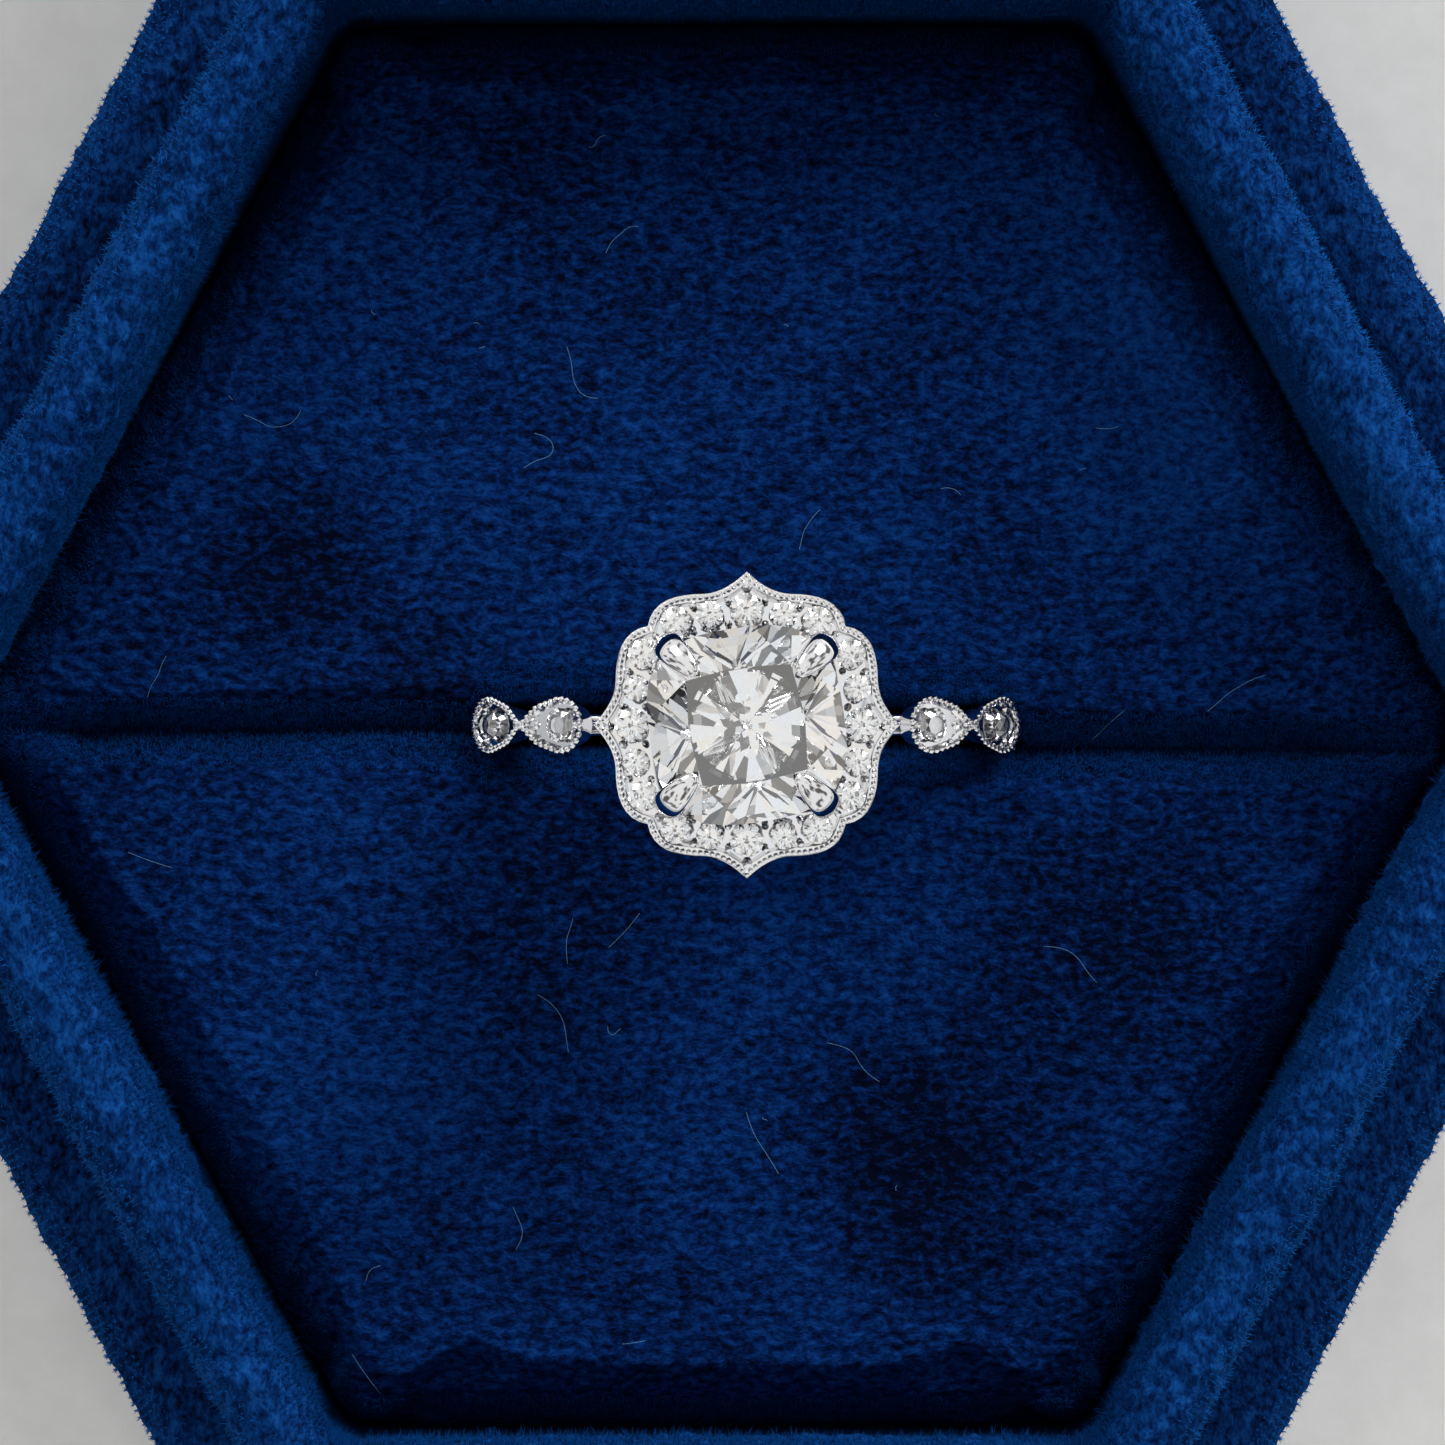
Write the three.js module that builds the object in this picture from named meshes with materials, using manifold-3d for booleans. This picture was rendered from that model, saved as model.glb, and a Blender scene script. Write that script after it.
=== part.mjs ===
// Ring box: a hexagonal velvet box with a raised collar, a lift-off lid, and a halo ring standing in the
// slit between two pads. Millimetres, +Z up. The origin is the centre of the base's underside, X runs along
// the slit, and the lid lies upside down behind the base at +Y.

import * as THREE from 'three';
import { mergeVertices } from 'three/addons/utils/BufferGeometryUtils.js';
import Module from 'manifold-3d';

const wasm = await Module();
wasm.setup();

// Hexagons are given by their apothem, which is the distance from the axis to a slanted side. The slanted
// sides stand steeper than a regular hexagon's, and the flats at +Y and -Y lie further out than the apothem.
const SIDE_SLOPE = 62.2;
const END_EXTRA = 1.55;
const SHELL_APOTHEM = 27.2;
const SHELL_CORNER = 4.2;
const CORNER_SHRINK = 0.6;
const COLLAR_APOTHEM = 24;
const FELT_APOTHEM = 21.9;
const SHOULDER_Z = 18;
const COLLAR_TOP_Z = 26;
const CLOSED_HEIGHT = 42;
const SEAM_GAP = 0.3;

// The layers that the walls are made of, from the outside in.
const VELVET = 0.65;
const TURNED_VELVET = 0.4;
const GLUE = 0.12;
const SHELL_BOARD = 1.5;
const LID_BOARD = 1.2;
const COLLAR_BOARD = 0.9;
const EDGE_ROLL = 1.4;
const FELT_THICKNESS = 0.6;

// The pads.
const PAD_APOTHEM = 21.25;
const PAD_BOTTOM_Z = 2.5;
const PAD_TOP_Z = 20.4;
const PAD_ROLL = 1.5;
const SLIT_HALF_WIDTH = 0.2;
const POCKET_HALF_WIDTH = 1.1;
const POCKET_HALF_LENGTH = 10.6;
const POCKET_BOTTOM_Z = 4.4;

// The lid's pad, and how the lid lies beside the base.
const LID_PAD_APOTHEM = 24.35;
const LID_PAD_THICKNESS = 3.5;
const LID_CARD = 0.8;
const TURN_OVER_Y = 33;

// The ring.
const RING_X = 1;
const RING_Z = 15.1;
const SHANK_OUTER_RADIUS = 10;
const SHANK_INNER_RADIUS = 8.4;
const SHANK_HALF_WIDTH = 0.8;
const SECTION_START = 30.25;
const SECTION_PITCH = 15.5;
const SECTION_COUNT = 3;
const SECTION_HALF_WIDTH = 0.9;
const WAIST_HALF_WIDTH = 0.45;
const HALO_TOP_Z = 28.2;
const HALO_THICKNESS = 0.9;
const HALO_WINDOW = 2.75;
const STONE_HALF = 3.05;
const STONE_TURN = 7;
const GIRDLE_Z = 28.95;
const CLAW_INNER = 3.48;
const CLAW_OUTER = 3.92;
const CLAW_WIDTH = 0.8;
const RAIL_BOTTOM_Z = 25.3;
const RAIL_HEIGHT = 0.6;

const BLUE_VELVET = { color: 0x0a2f78, roughness: 0.95, metalness: 0 };
const BLUE_FELT = { color: 0x10234f, roughness: 1, metalness: 0 };
const GREYBOARD = { color: 0x9a948a, roughness: 0.9, metalness: 0 };
const FOAM = { color: 0xe6e2d6, roughness: 1, metalness: 0 };
const WHITE_GOLD = { color: 0xd9d9dc, roughness: 0.18, metalness: 1 };
const STONE = { color: 0xf3f6fb, roughness: 0.03, metalness: 0 };

const part = new THREE.Group();
const degrees = THREE.MathUtils.degToRad;

// ---------- helpers ----------

// Adds one named piece to a group.
function addPiece(group, name, geometry, finish) {
  const mesh = new THREE.Mesh(geometry, new THREE.MeshStandardMaterial(finish));
  mesh.name = name;
  group.add(mesh);
  return mesh;
}

// A closed geometry as a solid that can be joined and cut.
function toSolid(geometry) {
  const bare = geometry.clone();
  bare.deleteAttribute('normal');
  bare.deleteAttribute('uv');
  const merged = mergeVertices(bare, 1e-4);
  return new wasm.Manifold(
    new wasm.Mesh({
      numProp: 3,
      vertProperties: new Float32Array(merged.attributes.position.array),
      triVerts: new Uint32Array(merged.index.array),
    }),
  );
}

// A solid as a geometry again.
function toGeometry(solid) {
  const mesh = solid.getMesh();
  const geometry = new THREE.BufferGeometry();
  geometry.setAttribute('position', new THREE.BufferAttribute(mesh.vertProperties, 3));
  geometry.setIndex(new THREE.BufferAttribute(mesh.triVerts, 1));
  geometry.computeVertexNormals();
  return geometry;
}

// A box between two corners.
function boxBetween(low, high) {
  const size = new THREE.Vector3().subVectors(high, low);
  const box = new THREE.BoxGeometry(size.x, size.y, size.z);
  box.translate(low.x + size.x / 2, low.y + size.y / 2, low.z + size.z / 2);
  return box;
}

// The hexagon's sides, counterclockwise from the one below the corner at +X: the direction that each one
// faces, in degrees, and how far beyond the apothem it lies.
const FIRST_FACING = 90 - SIDE_SLOPE;
const SIDES = [
  { facing: -FIRST_FACING, extra: 0 },
  { facing: FIRST_FACING, extra: 0 },
  { facing: 90, extra: END_EXTRA },
  { facing: 180 - FIRST_FACING, extra: 0 },
  { facing: 180 + FIRST_FACING, extra: 0 },
  { facing: 270, extra: END_EXTRA },
  { facing: 360 - FIRST_FACING, extra: 0 },
];

// Where two lines meet, each given by the direction it faces and its distance from the axis.
function meet(facing, distance, nextFacing, nextDistance) {
  const spread = Math.sin(nextFacing - facing);
  return new THREE.Vector2(
    (distance * Math.sin(nextFacing) - nextDistance * Math.sin(facing)) / spread,
    (nextDistance * Math.cos(facing) - distance * Math.cos(nextFacing)) / spread,
  );
}

// Points along a rounded hexagon, counterclockwise from the corner at +X.
const CORNER_STEPS = 3;
const SHARPEST_CORNER = 0.05;
function hexagonPoint(index, apothem, cornerRadius) {
  const stepsPerCorner = CORNER_STEPS + 1;
  const corner = Math.floor(index / stepsPerCorner);
  const along = (index % stepsPerCorner) / CORNER_STEPS;
  const radius = Math.max(cornerRadius, SHARPEST_CORNER);
  const [side, next] = [SIDES[corner], SIDES[corner + 1]];
  const [facing, nextFacing] = [degrees(side.facing), degrees(next.facing)];
  const inward = apothem - radius;
  const middle = meet(facing, inward + side.extra, nextFacing, inward + next.extra);
  const turn = THREE.MathUtils.lerp(facing, nextFacing, along);
  return new THREE.Vector2(middle.x + radius * Math.cos(turn), middle.y + radius * Math.sin(turn));
}

// A lathe whose circle is a rounded hexagon. The profile's points are (apothem, z), and all of the outlines
// are offsets of the shell's outer face, so that nested layers keep an even distance.
function hexagonLathe(profile) {
  const steps = 6 * (CORNER_STEPS + 1);
  const geometry = new THREE.LatheGeometry(profile, steps);
  const position = geometry.attributes.position;
  for (let i = 0; i <= steps; i += 1) {
    profile.forEach((point, j) => {
      const onAxis = point.x < 1e-6;
      const cornerRadius = SHELL_CORNER - (SHELL_APOTHEM - point.x) * CORNER_SHRINK;
      const place = hexagonPoint(i % steps, point.x, cornerRadius);
      const k = i * profile.length + j;
      position.setXYZ(k, onAxis ? 0 : place.x, onAxis ? 0 : place.y, point.y);
    });
  }
  return geometry;
}

// A flat hexagonal plate between two heights.
function hexagonPlate(apothem, low, high) {
  return hexagonLathe([
    new THREE.Vector2(0, low),
    new THREE.Vector2(apothem, low),
    new THREE.Vector2(apothem, high),
    new THREE.Vector2(0, high),
  ]);
}

// A hexagonal wall between two apothems and two heights.
function hexagonWall(outer, inner, low, high) {
  return hexagonLathe([
    new THREE.Vector2(inner, low),
    new THREE.Vector2(outer, low),
    new THREE.Vector2(outer, high),
    new THREE.Vector2(inner, high),
    new THREE.Vector2(inner, low),
  ]);
}

// Points on a quarter circle of a profile, from one angle to another in degrees.
function arc(x, z, radius, from, to, steps = 3) {
  const points = [];
  for (let i = 0; i <= steps; i += 1) {
    const turn = degrees(THREE.MathUtils.lerp(from, to, i / steps));
    points.push(new THREE.Vector2(x + radius * Math.cos(turn), z + radius * Math.sin(turn)));
  }
  return points;
}

// ---------- base ----------

const shellBoardOuter = SHELL_APOTHEM - VELVET - GLUE;
const shellBoardInner = shellBoardOuter - SHELL_BOARD;
const shellTurnedOuter = shellBoardInner - GLUE;
const shellTurnedInner = shellTurnedOuter - TURNED_VELVET;
const floorBottom = VELVET + GLUE;
const floorTop = floorBottom + SHELL_BOARD;

// The outer shell's velvet: turned under the floor, up the wall, over the shoulder and down inside.
function baseVelvetCover() {
  const underEdge = FELT_APOTHEM + 0.3;
  const flapBottom = 12;
  const footRoll = 1;
  const board = SHOULDER_Z - VELVET;
  return hexagonLathe([
    new THREE.Vector2(underEdge, 0),
    ...arc(SHELL_APOTHEM - footRoll, footRoll, footRoll, -90, 0),
    ...arc(SHELL_APOTHEM - EDGE_ROLL, SHOULDER_Z - EDGE_ROLL, EDGE_ROLL, 0, 90),
    new THREE.Vector2(shellTurnedInner, SHOULDER_Z),
    new THREE.Vector2(shellTurnedInner, flapBottom),
    new THREE.Vector2(shellTurnedOuter, flapBottom),
    new THREE.Vector2(shellTurnedOuter, board),
    new THREE.Vector2(shellBoardOuter - 0.6, board),
    new THREE.Vector2(SHELL_APOTHEM - VELVET, board - 0.7),
    new THREE.Vector2(SHELL_APOTHEM - VELVET, VELVET),
    new THREE.Vector2(underEdge, VELVET),
    new THREE.Vector2(underEdge, 0),
  ]);
}

// The greyboard wall, with its outer top edge eased where the velvet rolls over it.
function baseWallBoard() {
  const top = SHOULDER_Z - VELVET - GLUE;
  return hexagonLathe([
    new THREE.Vector2(shellBoardInner, floorTop + GLUE),
    new THREE.Vector2(shellBoardOuter, floorTop + GLUE),
    new THREE.Vector2(shellBoardOuter, top - 0.9),
    new THREE.Vector2(shellBoardOuter - 0.8, top),
    new THREE.Vector2(shellBoardInner, top),
    new THREE.Vector2(shellBoardInner, floorTop + GLUE),
  ]);
}

const collarBoardOuter = COLLAR_APOTHEM - VELVET - GLUE;
const collarBoardInner = collarBoardOuter - COLLAR_BOARD;
const collarInner = collarBoardInner - GLUE - VELVET;

// The collar's velvet: an upside-down U with a full round top.
function collarVelvetCover() {
  const outerHem = 10;
  const innerHem = 8;
  const roundRadius = (COLLAR_APOTHEM - collarInner) / 2;
  const middle = (COLLAR_APOTHEM + collarInner) / 2;
  const boardTop = COLLAR_TOP_Z - VELVET;
  return hexagonLathe([
    new THREE.Vector2(COLLAR_APOTHEM - VELVET, outerHem),
    new THREE.Vector2(COLLAR_APOTHEM, outerHem),
    ...arc(middle, COLLAR_TOP_Z - roundRadius, roundRadius, 0, 180, 6),
    new THREE.Vector2(collarInner, innerHem),
    new THREE.Vector2(collarInner + VELVET, innerHem),
    new THREE.Vector2(collarInner + VELVET, boardTop - 0.5),
    new THREE.Vector2(middle - 0.2, boardTop),
    new THREE.Vector2(middle + 0.2, boardTop),
    new THREE.Vector2(COLLAR_APOTHEM - VELVET, boardTop - 0.5),
    new THREE.Vector2(COLLAR_APOTHEM - VELVET, outerHem),
  ]);
}

// One half-hexagon pad block with rolled top edges and the ring's pocket, set in from the pad's face.
function padBlock(side, inset) {
  const roll = PAD_ROLL - inset / 2;
  const apothem = PAD_APOTHEM - inset - roll;
  const slit = SLIT_HALF_WIDTH + inset + roll;
  const slanted = degrees(FIRST_FACING);
  const atSlit = meet(slanted, apothem, degrees(90), slit);
  const atEnd = meet(slanted, apothem, degrees(90), apothem + END_EXTRA);
  const outline = new THREE.Shape([
    new THREE.Vector2(-atSlit.x, slit),
    atSlit,
    atEnd,
    new THREE.Vector2(-atEnd.x, atEnd.y),
  ]);
  const below = PAD_BOTTOM_Z - PAD_ROLL - 1;
  const block = new THREE.ExtrudeGeometry(outline, {
    depth: PAD_TOP_Z - inset - roll - below,
    steps: 1,
    bevelEnabled: true,
    bevelThickness: roll,
    bevelSize: roll,
    bevelSegments: 3,
  });
  block.translate(0, 0, below);
  const halfLength = POCKET_HALF_LENGTH + inset;
  const halfWidth = POCKET_HALF_WIDTH + inset;
  const pocket = boxBetween(
    new THREE.Vector3(RING_X - halfLength, -halfWidth, POCKET_BOTTOM_Z - inset),
    new THREE.Vector3(RING_X + halfLength, halfWidth, PAD_TOP_Z + 1),
  );
  const turned = side > 0 ? toSolid(block) : toSolid(block.rotateZ(Math.PI));
  return turned.subtract(toSolid(pocket));
}

// Everything below the pads' flat underside.
function belowPads() {
  const reach = SHELL_APOTHEM * 2;
  return toSolid(
    boxBetween(new THREE.Vector3(-reach, -reach, -reach), new THREE.Vector3(reach, reach, PAD_BOTTOM_Z)),
  );
}

function addPad(group, name, side) {
  const under = belowPads();
  const velvet = padBlock(side, 0).subtract(padBlock(side, VELVET)).subtract(under);
  const foam = padBlock(side, VELVET + GLUE).subtract(under);
  addPiece(group, `${name}_pad_velvet`, toGeometry(velvet), BLUE_VELVET);
  addPiece(group, `${name}_pad_foam`, toGeometry(foam), FOAM);
}

function buildBase() {
  const base = new THREE.Group();
  const collarBoard = hexagonWall(collarBoardOuter, collarBoardInner, floorTop + GLUE, COLLAR_TOP_Z - 1.3);
  addPiece(base, 'base_velvet_cover', baseVelvetCover(), BLUE_VELVET);
  addPiece(base, 'base_underside_felt', hexagonPlate(FELT_APOTHEM, 0, FELT_THICKNESS), BLUE_FELT);
  addPiece(base, 'base_floor_board', hexagonPlate(shellBoardOuter, floorBottom, floorTop), GREYBOARD);
  addPiece(base, 'base_wall_board', baseWallBoard(), GREYBOARD);
  addPiece(base, 'collar_board', collarBoard, GREYBOARD);
  addPiece(base, 'collar_velvet_cover', collarVelvetCover(), BLUE_VELVET);
  addPad(base, 'back', 1);
  addPad(base, 'front', -1);
  return base;
}

// ---------- lid, drawn closed on the base ----------

const lidBoardInner = shellBoardOuter - LID_BOARD;
const liningOuter = lidBoardInner - GLUE;
const liningInner = liningOuter - TURNED_VELVET;
const lidRim = SHOULDER_Z + SEAM_GAP;
const lidTopBoardTop = CLOSED_HEIGHT - VELVET - GLUE;
const lidTopBoardBottom = lidTopBoardTop - SHELL_BOARD;
const liningBottom = lidRim + 4.2;

// The lid's velvet: over the top, down the wall and turned up inside the rim.
function lidVelvetCover() {
  const flapTop = liningBottom - GLUE;
  const rimRoll = 0.5;
  return hexagonLathe([
    new THREE.Vector2(0, CLOSED_HEIGHT - VELVET),
    new THREE.Vector2(shellBoardOuter - 0.5, CLOSED_HEIGHT - VELVET),
    new THREE.Vector2(SHELL_APOTHEM - VELVET, CLOSED_HEIGHT - VELVET - 0.6),
    new THREE.Vector2(SHELL_APOTHEM - VELVET, lidRim + VELVET),
    new THREE.Vector2(liningOuter, lidRim + VELVET),
    new THREE.Vector2(liningOuter, flapTop),
    new THREE.Vector2(liningInner, flapTop),
    new THREE.Vector2(liningInner, lidRim + rimRoll),
    new THREE.Vector2(liningInner + rimRoll, lidRim),
    ...arc(SHELL_APOTHEM - rimRoll, lidRim + rimRoll, rimRoll, -90, 0),
    ...arc(SHELL_APOTHEM - EDGE_ROLL, CLOSED_HEIGHT - EDGE_ROLL, EDGE_ROLL, 0, 90),
    new THREE.Vector2(0, CLOSED_HEIGHT),
  ]);
}

// The board of the lid's top, with its edge eased under the velvet's roll.
function lidTopBoard() {
  return hexagonLathe([
    new THREE.Vector2(0, lidTopBoardBottom),
    new THREE.Vector2(shellBoardOuter, lidTopBoardBottom),
    new THREE.Vector2(shellBoardOuter, lidTopBoardTop - 0.8),
    new THREE.Vector2(shellBoardOuter - 0.7, lidTopBoardTop),
    new THREE.Vector2(0, lidTopBoardTop),
  ]);
}

// The lid's pad as a dome-edged block, set in from its face. Its open side is the one that meets the card.
function lidPadBlock(inset, top) {
  const face = lidPadTop - LID_PAD_THICKNESS + inset;
  const apothem = LID_PAD_APOTHEM - inset;
  const roll = EDGE_ROLL - inset / 2;
  return hexagonLathe([
    new THREE.Vector2(0, face),
    ...arc(apothem - roll, face + roll, roll, -90, 0),
    new THREE.Vector2(apothem, top),
    new THREE.Vector2(0, top),
  ]);
}

const lidPadTop = lidTopBoardBottom - 2 * GLUE - LID_CARD;

function buildLid() {
  const lid = new THREE.Group();
  const wall = hexagonWall(shellBoardOuter, lidBoardInner, lidRim + VELVET + GLUE, lidTopBoardBottom - GLUE);
  const lining = hexagonWall(liningOuter, liningInner, liningBottom, lidTopBoardBottom - GLUE);
  const card = hexagonPlate(LID_PAD_APOTHEM, lidPadTop + GLUE, lidPadTop + GLUE + LID_CARD);
  const padVelvet = toSolid(lidPadBlock(0, lidPadTop)).subtract(toSolid(lidPadBlock(VELVET, lidPadTop + 1)));
  addPiece(lid, 'lid_velvet_cover', lidVelvetCover(), BLUE_VELVET);
  addPiece(lid, 'lid_wall_board', wall, GREYBOARD);
  addPiece(lid, 'lid_top_board', lidTopBoard(), GREYBOARD);
  addPiece(lid, 'lid_wall_lining', lining, BLUE_VELVET);
  addPiece(lid, 'lid_pad_card', card, GREYBOARD);
  addPiece(lid, 'lid_pad_velvet', toGeometry(padVelvet), BLUE_VELVET);
  addPiece(lid, 'lid_pad_foam', lidPadBlock(VELVET + GLUE, lidPadTop), FOAM);
  return lid;
}

// Half a turn about an axis along X lays the closed lid upside down behind the base.
function layLidDown(lid) {
  lid.rotation.x = Math.PI;
  lid.position.set(0, 2 * TURN_OVER_Y, CLOSED_HEIGHT);
  return lid;
}

// ---------- ring, drawn about the centre of its finger hole ----------

// Half the band's width at an angle from the top, pinched between the stone-set sections.
function bandHalfWidth(angle) {
  const into = Math.abs(angle) - SECTION_START;
  if (into < 0 || into > SECTION_PITCH * SECTION_COUNT) {
    return SHANK_HALF_WIDTH;
  }
  const swell = Math.sin((Math.PI * (into % SECTION_PITCH)) / SECTION_PITCH);
  return THREE.MathUtils.lerp(WAIST_HALF_WIDTH, SECTION_HALF_WIDTH, swell);
}

// The angle of each band stone from the top of the ring, left and then right.
function bandStoneAngles() {
  const angles = [];
  for (const side of [-1, 1]) {
    for (let i = 0; i < SECTION_COUNT; i += 1) {
      angles.push(side * (SECTION_START + SECTION_PITCH * (i + 0.5)));
    }
  }
  return angles;
}

function ringShank() {
  const easing = 0.3;
  const geometry = new THREE.LatheGeometry(
    [
      new THREE.Vector2(SHANK_INNER_RADIUS, -1),
      new THREE.Vector2(SHANK_OUTER_RADIUS - easing, -1),
      new THREE.Vector2(SHANK_OUTER_RADIUS, -0.7),
      new THREE.Vector2(SHANK_OUTER_RADIUS, 0.7),
      new THREE.Vector2(SHANK_OUTER_RADIUS - easing, 1),
      new THREE.Vector2(SHANK_INNER_RADIUS, 1),
      new THREE.Vector2(SHANK_INNER_RADIUS, -1),
    ],
    96,
  );
  const position = geometry.attributes.position;
  for (let i = 0; i < position.count; i += 1) {
    const fromTop = THREE.MathUtils.radToDeg(Math.atan2(position.getX(i), position.getZ(i)));
    position.setY(i, position.getY(i) * bandHalfWidth(fromTop));
  }
  let shank = toSolid(geometry);
  for (const angle of bandStoneAngles()) {
    const seat = new THREE.CylinderGeometry(0.46, 0.46, 2, 10);
    seat.rotateX(Math.PI / 2);
    seat.translate(0, 0, SHANK_OUTER_RADIUS + 0.1);
    seat.rotateY(degrees(angle));
    shank = shank.subtract(toSolid(seat));
  }
  return toGeometry(shank);
}

// A small round stone with its girdle at z = 0 and its table at +Z.
function roundStone(radius) {
  const geometry = new THREE.LatheGeometry(
    [
      new THREE.Vector2(0, -0.86 * radius),
      new THREE.Vector2(radius, 0),
      new THREE.Vector2(radius, 0.06 * radius),
      new THREE.Vector2(0.6 * radius, 0.34 * radius),
      new THREE.Vector2(0, 0.34 * radius),
    ],
    10,
  );
  return geometry.rotateX(Math.PI / 2);
}

function addBandStones(ring) {
  bandStoneAngles().forEach((angle, i) => {
    const stone = roundStone(0.55);
    stone.translate(0, 0, SHANK_OUTER_RADIUS + 0.14);
    stone.rotateY(degrees(angle));
    addPiece(ring, `band_stone_${i + 1}`, stone, STONE);
  });
}

// One side of the halo, as stones: x along the side, y from the centre, and radius.
const HALO_SIDE_STONES = [
  { x: -2.23, y: 3.25, radius: 0.47 },
  { x: -1.16, y: 3.47, radius: 0.42 },
  { x: 0, y: 3.6, radius: 0.53 },
  { x: 1.16, y: 3.47, radius: 0.42 },
  { x: 2.23, y: 3.25, radius: 0.47 },
];

// A point on the halo's first side, turned about its centre to another side.
function onSide(x, y, side) {
  return new THREE.Vector2(x, y).rotateAround(new THREE.Vector2(), degrees(90 * side));
}

// The four sides' stones, each turned into place.
function haloStones() {
  const stones = [];
  for (let side = 0; side < 4; side += 1) {
    for (const { x, y, radius } of HALO_SIDE_STONES) {
      stones.push({ place: onSide(x, y, side), radius });
    }
  }
  return stones;
}

// The halo's outline: on each side an ogee tip between two lobes, with a notch at each corner.
function haloOutline() {
  const outline = new THREE.Shape();
  const start = onSide(0, 4.77, 0);
  outline.moveTo(start.x, start.y);
  for (let side = 0; side < 4; side += 1) {
    const p = (x, y) => onSide(x, y, side);
    const edge = [p(-0.3, 4.1), p(-1.35, 4.08)];
    const lobe = [p(-2.2, 4.08), p(-2.95, 3.9), p(-3.08, 3.08)];
    const nextLobe = [p(-3.9, 2.95), p(-4.08, 2.2), p(-4.08, 1.35)];
    const nextEdge = [p(-4.1, 0.3), p(-4.77, 0)];
    outline.quadraticCurveTo(...edge.flatMap(({ x, y }) => [x, y]));
    outline.bezierCurveTo(...lobe.flatMap(({ x, y }) => [x, y]));
    outline.bezierCurveTo(...nextLobe.flatMap(({ x, y }) => [x, y]));
    outline.quadraticCurveTo(...nextEdge.flatMap(({ x, y }) => [x, y]));
  }
  return outline;
}

// The pierced plate: a square window under the centre stone, a hole under each small stone, and a notch
// where each claw passes.
function haloPlate() {
  const outline = haloOutline();
  const window = new THREE.Path([
    new THREE.Vector2(-HALO_WINDOW, -HALO_WINDOW),
    new THREE.Vector2(-HALO_WINDOW, HALO_WINDOW),
    new THREE.Vector2(HALO_WINDOW, HALO_WINDOW),
    new THREE.Vector2(HALO_WINDOW, -HALO_WINDOW),
  ]);
  outline.holes.push(window);
  const plate = new THREE.ExtrudeGeometry(outline, {
    depth: HALO_THICKNESS,
    bevelEnabled: false,
    curveSegments: 4,
  });
  plate.translate(0, 0, HALO_TOP_Z - RING_Z - HALO_THICKNESS);
  let solid = toSolid(plate);
  for (const { place, radius } of haloStones()) {
    const seat = new THREE.CylinderGeometry(0.78 * radius, 0.78 * radius, 2 * HALO_THICKNESS, 8);
    seat.rotateX(Math.PI / 2);
    seat.translate(place.x, place.y, HALO_TOP_Z - RING_Z);
    solid = solid.subtract(toSolid(seat));
  }
  for (let corner = 0; corner < 4; corner += 1) {
    const notch = boxBetween(
      new THREE.Vector3(CLAW_INNER - 1, -CLAW_WIDTH / 2 - 0.08, 0),
      new THREE.Vector3(CLAW_OUTER + 0.08, CLAW_WIDTH / 2 + 0.08, HALO_TOP_Z),
    );
    notch.rotateZ(degrees(45 + 90 * corner));
    solid = solid.subtract(toSolid(notch));
  }
  return toGeometry(solid);
}

// One claw, drawn in the XZ plane with X away from the stone: a post that bends over the crown.
function claw() {
  const foot = RAIL_BOTTOM_Z + RAIL_HEIGHT + GLUE - RING_Z;
  const bend = GIRDLE_Z - RING_Z;
  const side = new THREE.Shape([
    new THREE.Vector2(CLAW_INNER, foot),
    new THREE.Vector2(CLAW_OUTER, foot),
    new THREE.Vector2(CLAW_OUTER, bend + 0.1),
    new THREE.Vector2(CLAW_OUTER - 0.22, bend + 0.6),
    new THREE.Vector2(2.5, bend + 1.3),
    new THREE.Vector2(2.36, bend + 1.12),
    new THREE.Vector2(3.3, bend + 0.36),
    new THREE.Vector2(CLAW_INNER, bend + 0.2),
  ]);
  const geometry = new THREE.ExtrudeGeometry(side, { depth: CLAW_WIDTH, bevelEnabled: false });
  geometry.translate(0, 0, -CLAW_WIDTH / 2);
  return geometry.rotateX(Math.PI / 2);
}

// The cushion-cut stone: a lathe whose circle is a rounded square.
function cushionStone() {
  const profile = [
    new THREE.Vector2(0, -2.5),
    new THREE.Vector2(0.16, -2.45),
    new THREE.Vector2(1, 0),
    new THREE.Vector2(1, 0.12),
    new THREE.Vector2(0.58, 0.98),
    new THREE.Vector2(0, 0.98),
  ];
  const steps = 32;
  const squareness = 3;
  const geometry = new THREE.LatheGeometry(profile, steps);
  const position = geometry.attributes.position;
  for (let i = 0; i < position.count; i += 1) {
    const x = position.getX(i);
    const y = position.getZ(i);
    const share = Math.hypot(x, y);
    const turn = Math.atan2(y, x);
    const spread = Math.abs(Math.cos(turn)) ** squareness + Math.abs(Math.sin(turn)) ** squareness;
    const radius = STONE_HALF * share * spread ** (-1 / squareness);
    position.setXYZ(i, radius * Math.cos(turn), -radius * Math.sin(turn), position.getY(i));
  }
  geometry.rotateZ(degrees(STONE_TURN));
  return geometry.translate(0, 0, GIRDLE_Z - RING_Z);
}

// The square-set lower rail that the claws stand on.
function headRail() {
  const low = RAIL_BOTTOM_Z - RING_Z;
  const rail = new THREE.LatheGeometry(
    [
      new THREE.Vector2(2.9, low),
      new THREE.Vector2(CLAW_OUTER + 0.05, low),
      new THREE.Vector2(CLAW_OUTER + 0.05, low + RAIL_HEIGHT),
      new THREE.Vector2(2.9, low + RAIL_HEIGHT),
      new THREE.Vector2(2.9, low),
    ],
    32,
  );
  const position = rail.attributes.position;
  for (let i = 0; i < position.count; i += 1) {
    position.setXYZ(i, position.getX(i), -position.getZ(i), position.getY(i));
  }
  return rail;
}

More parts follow.
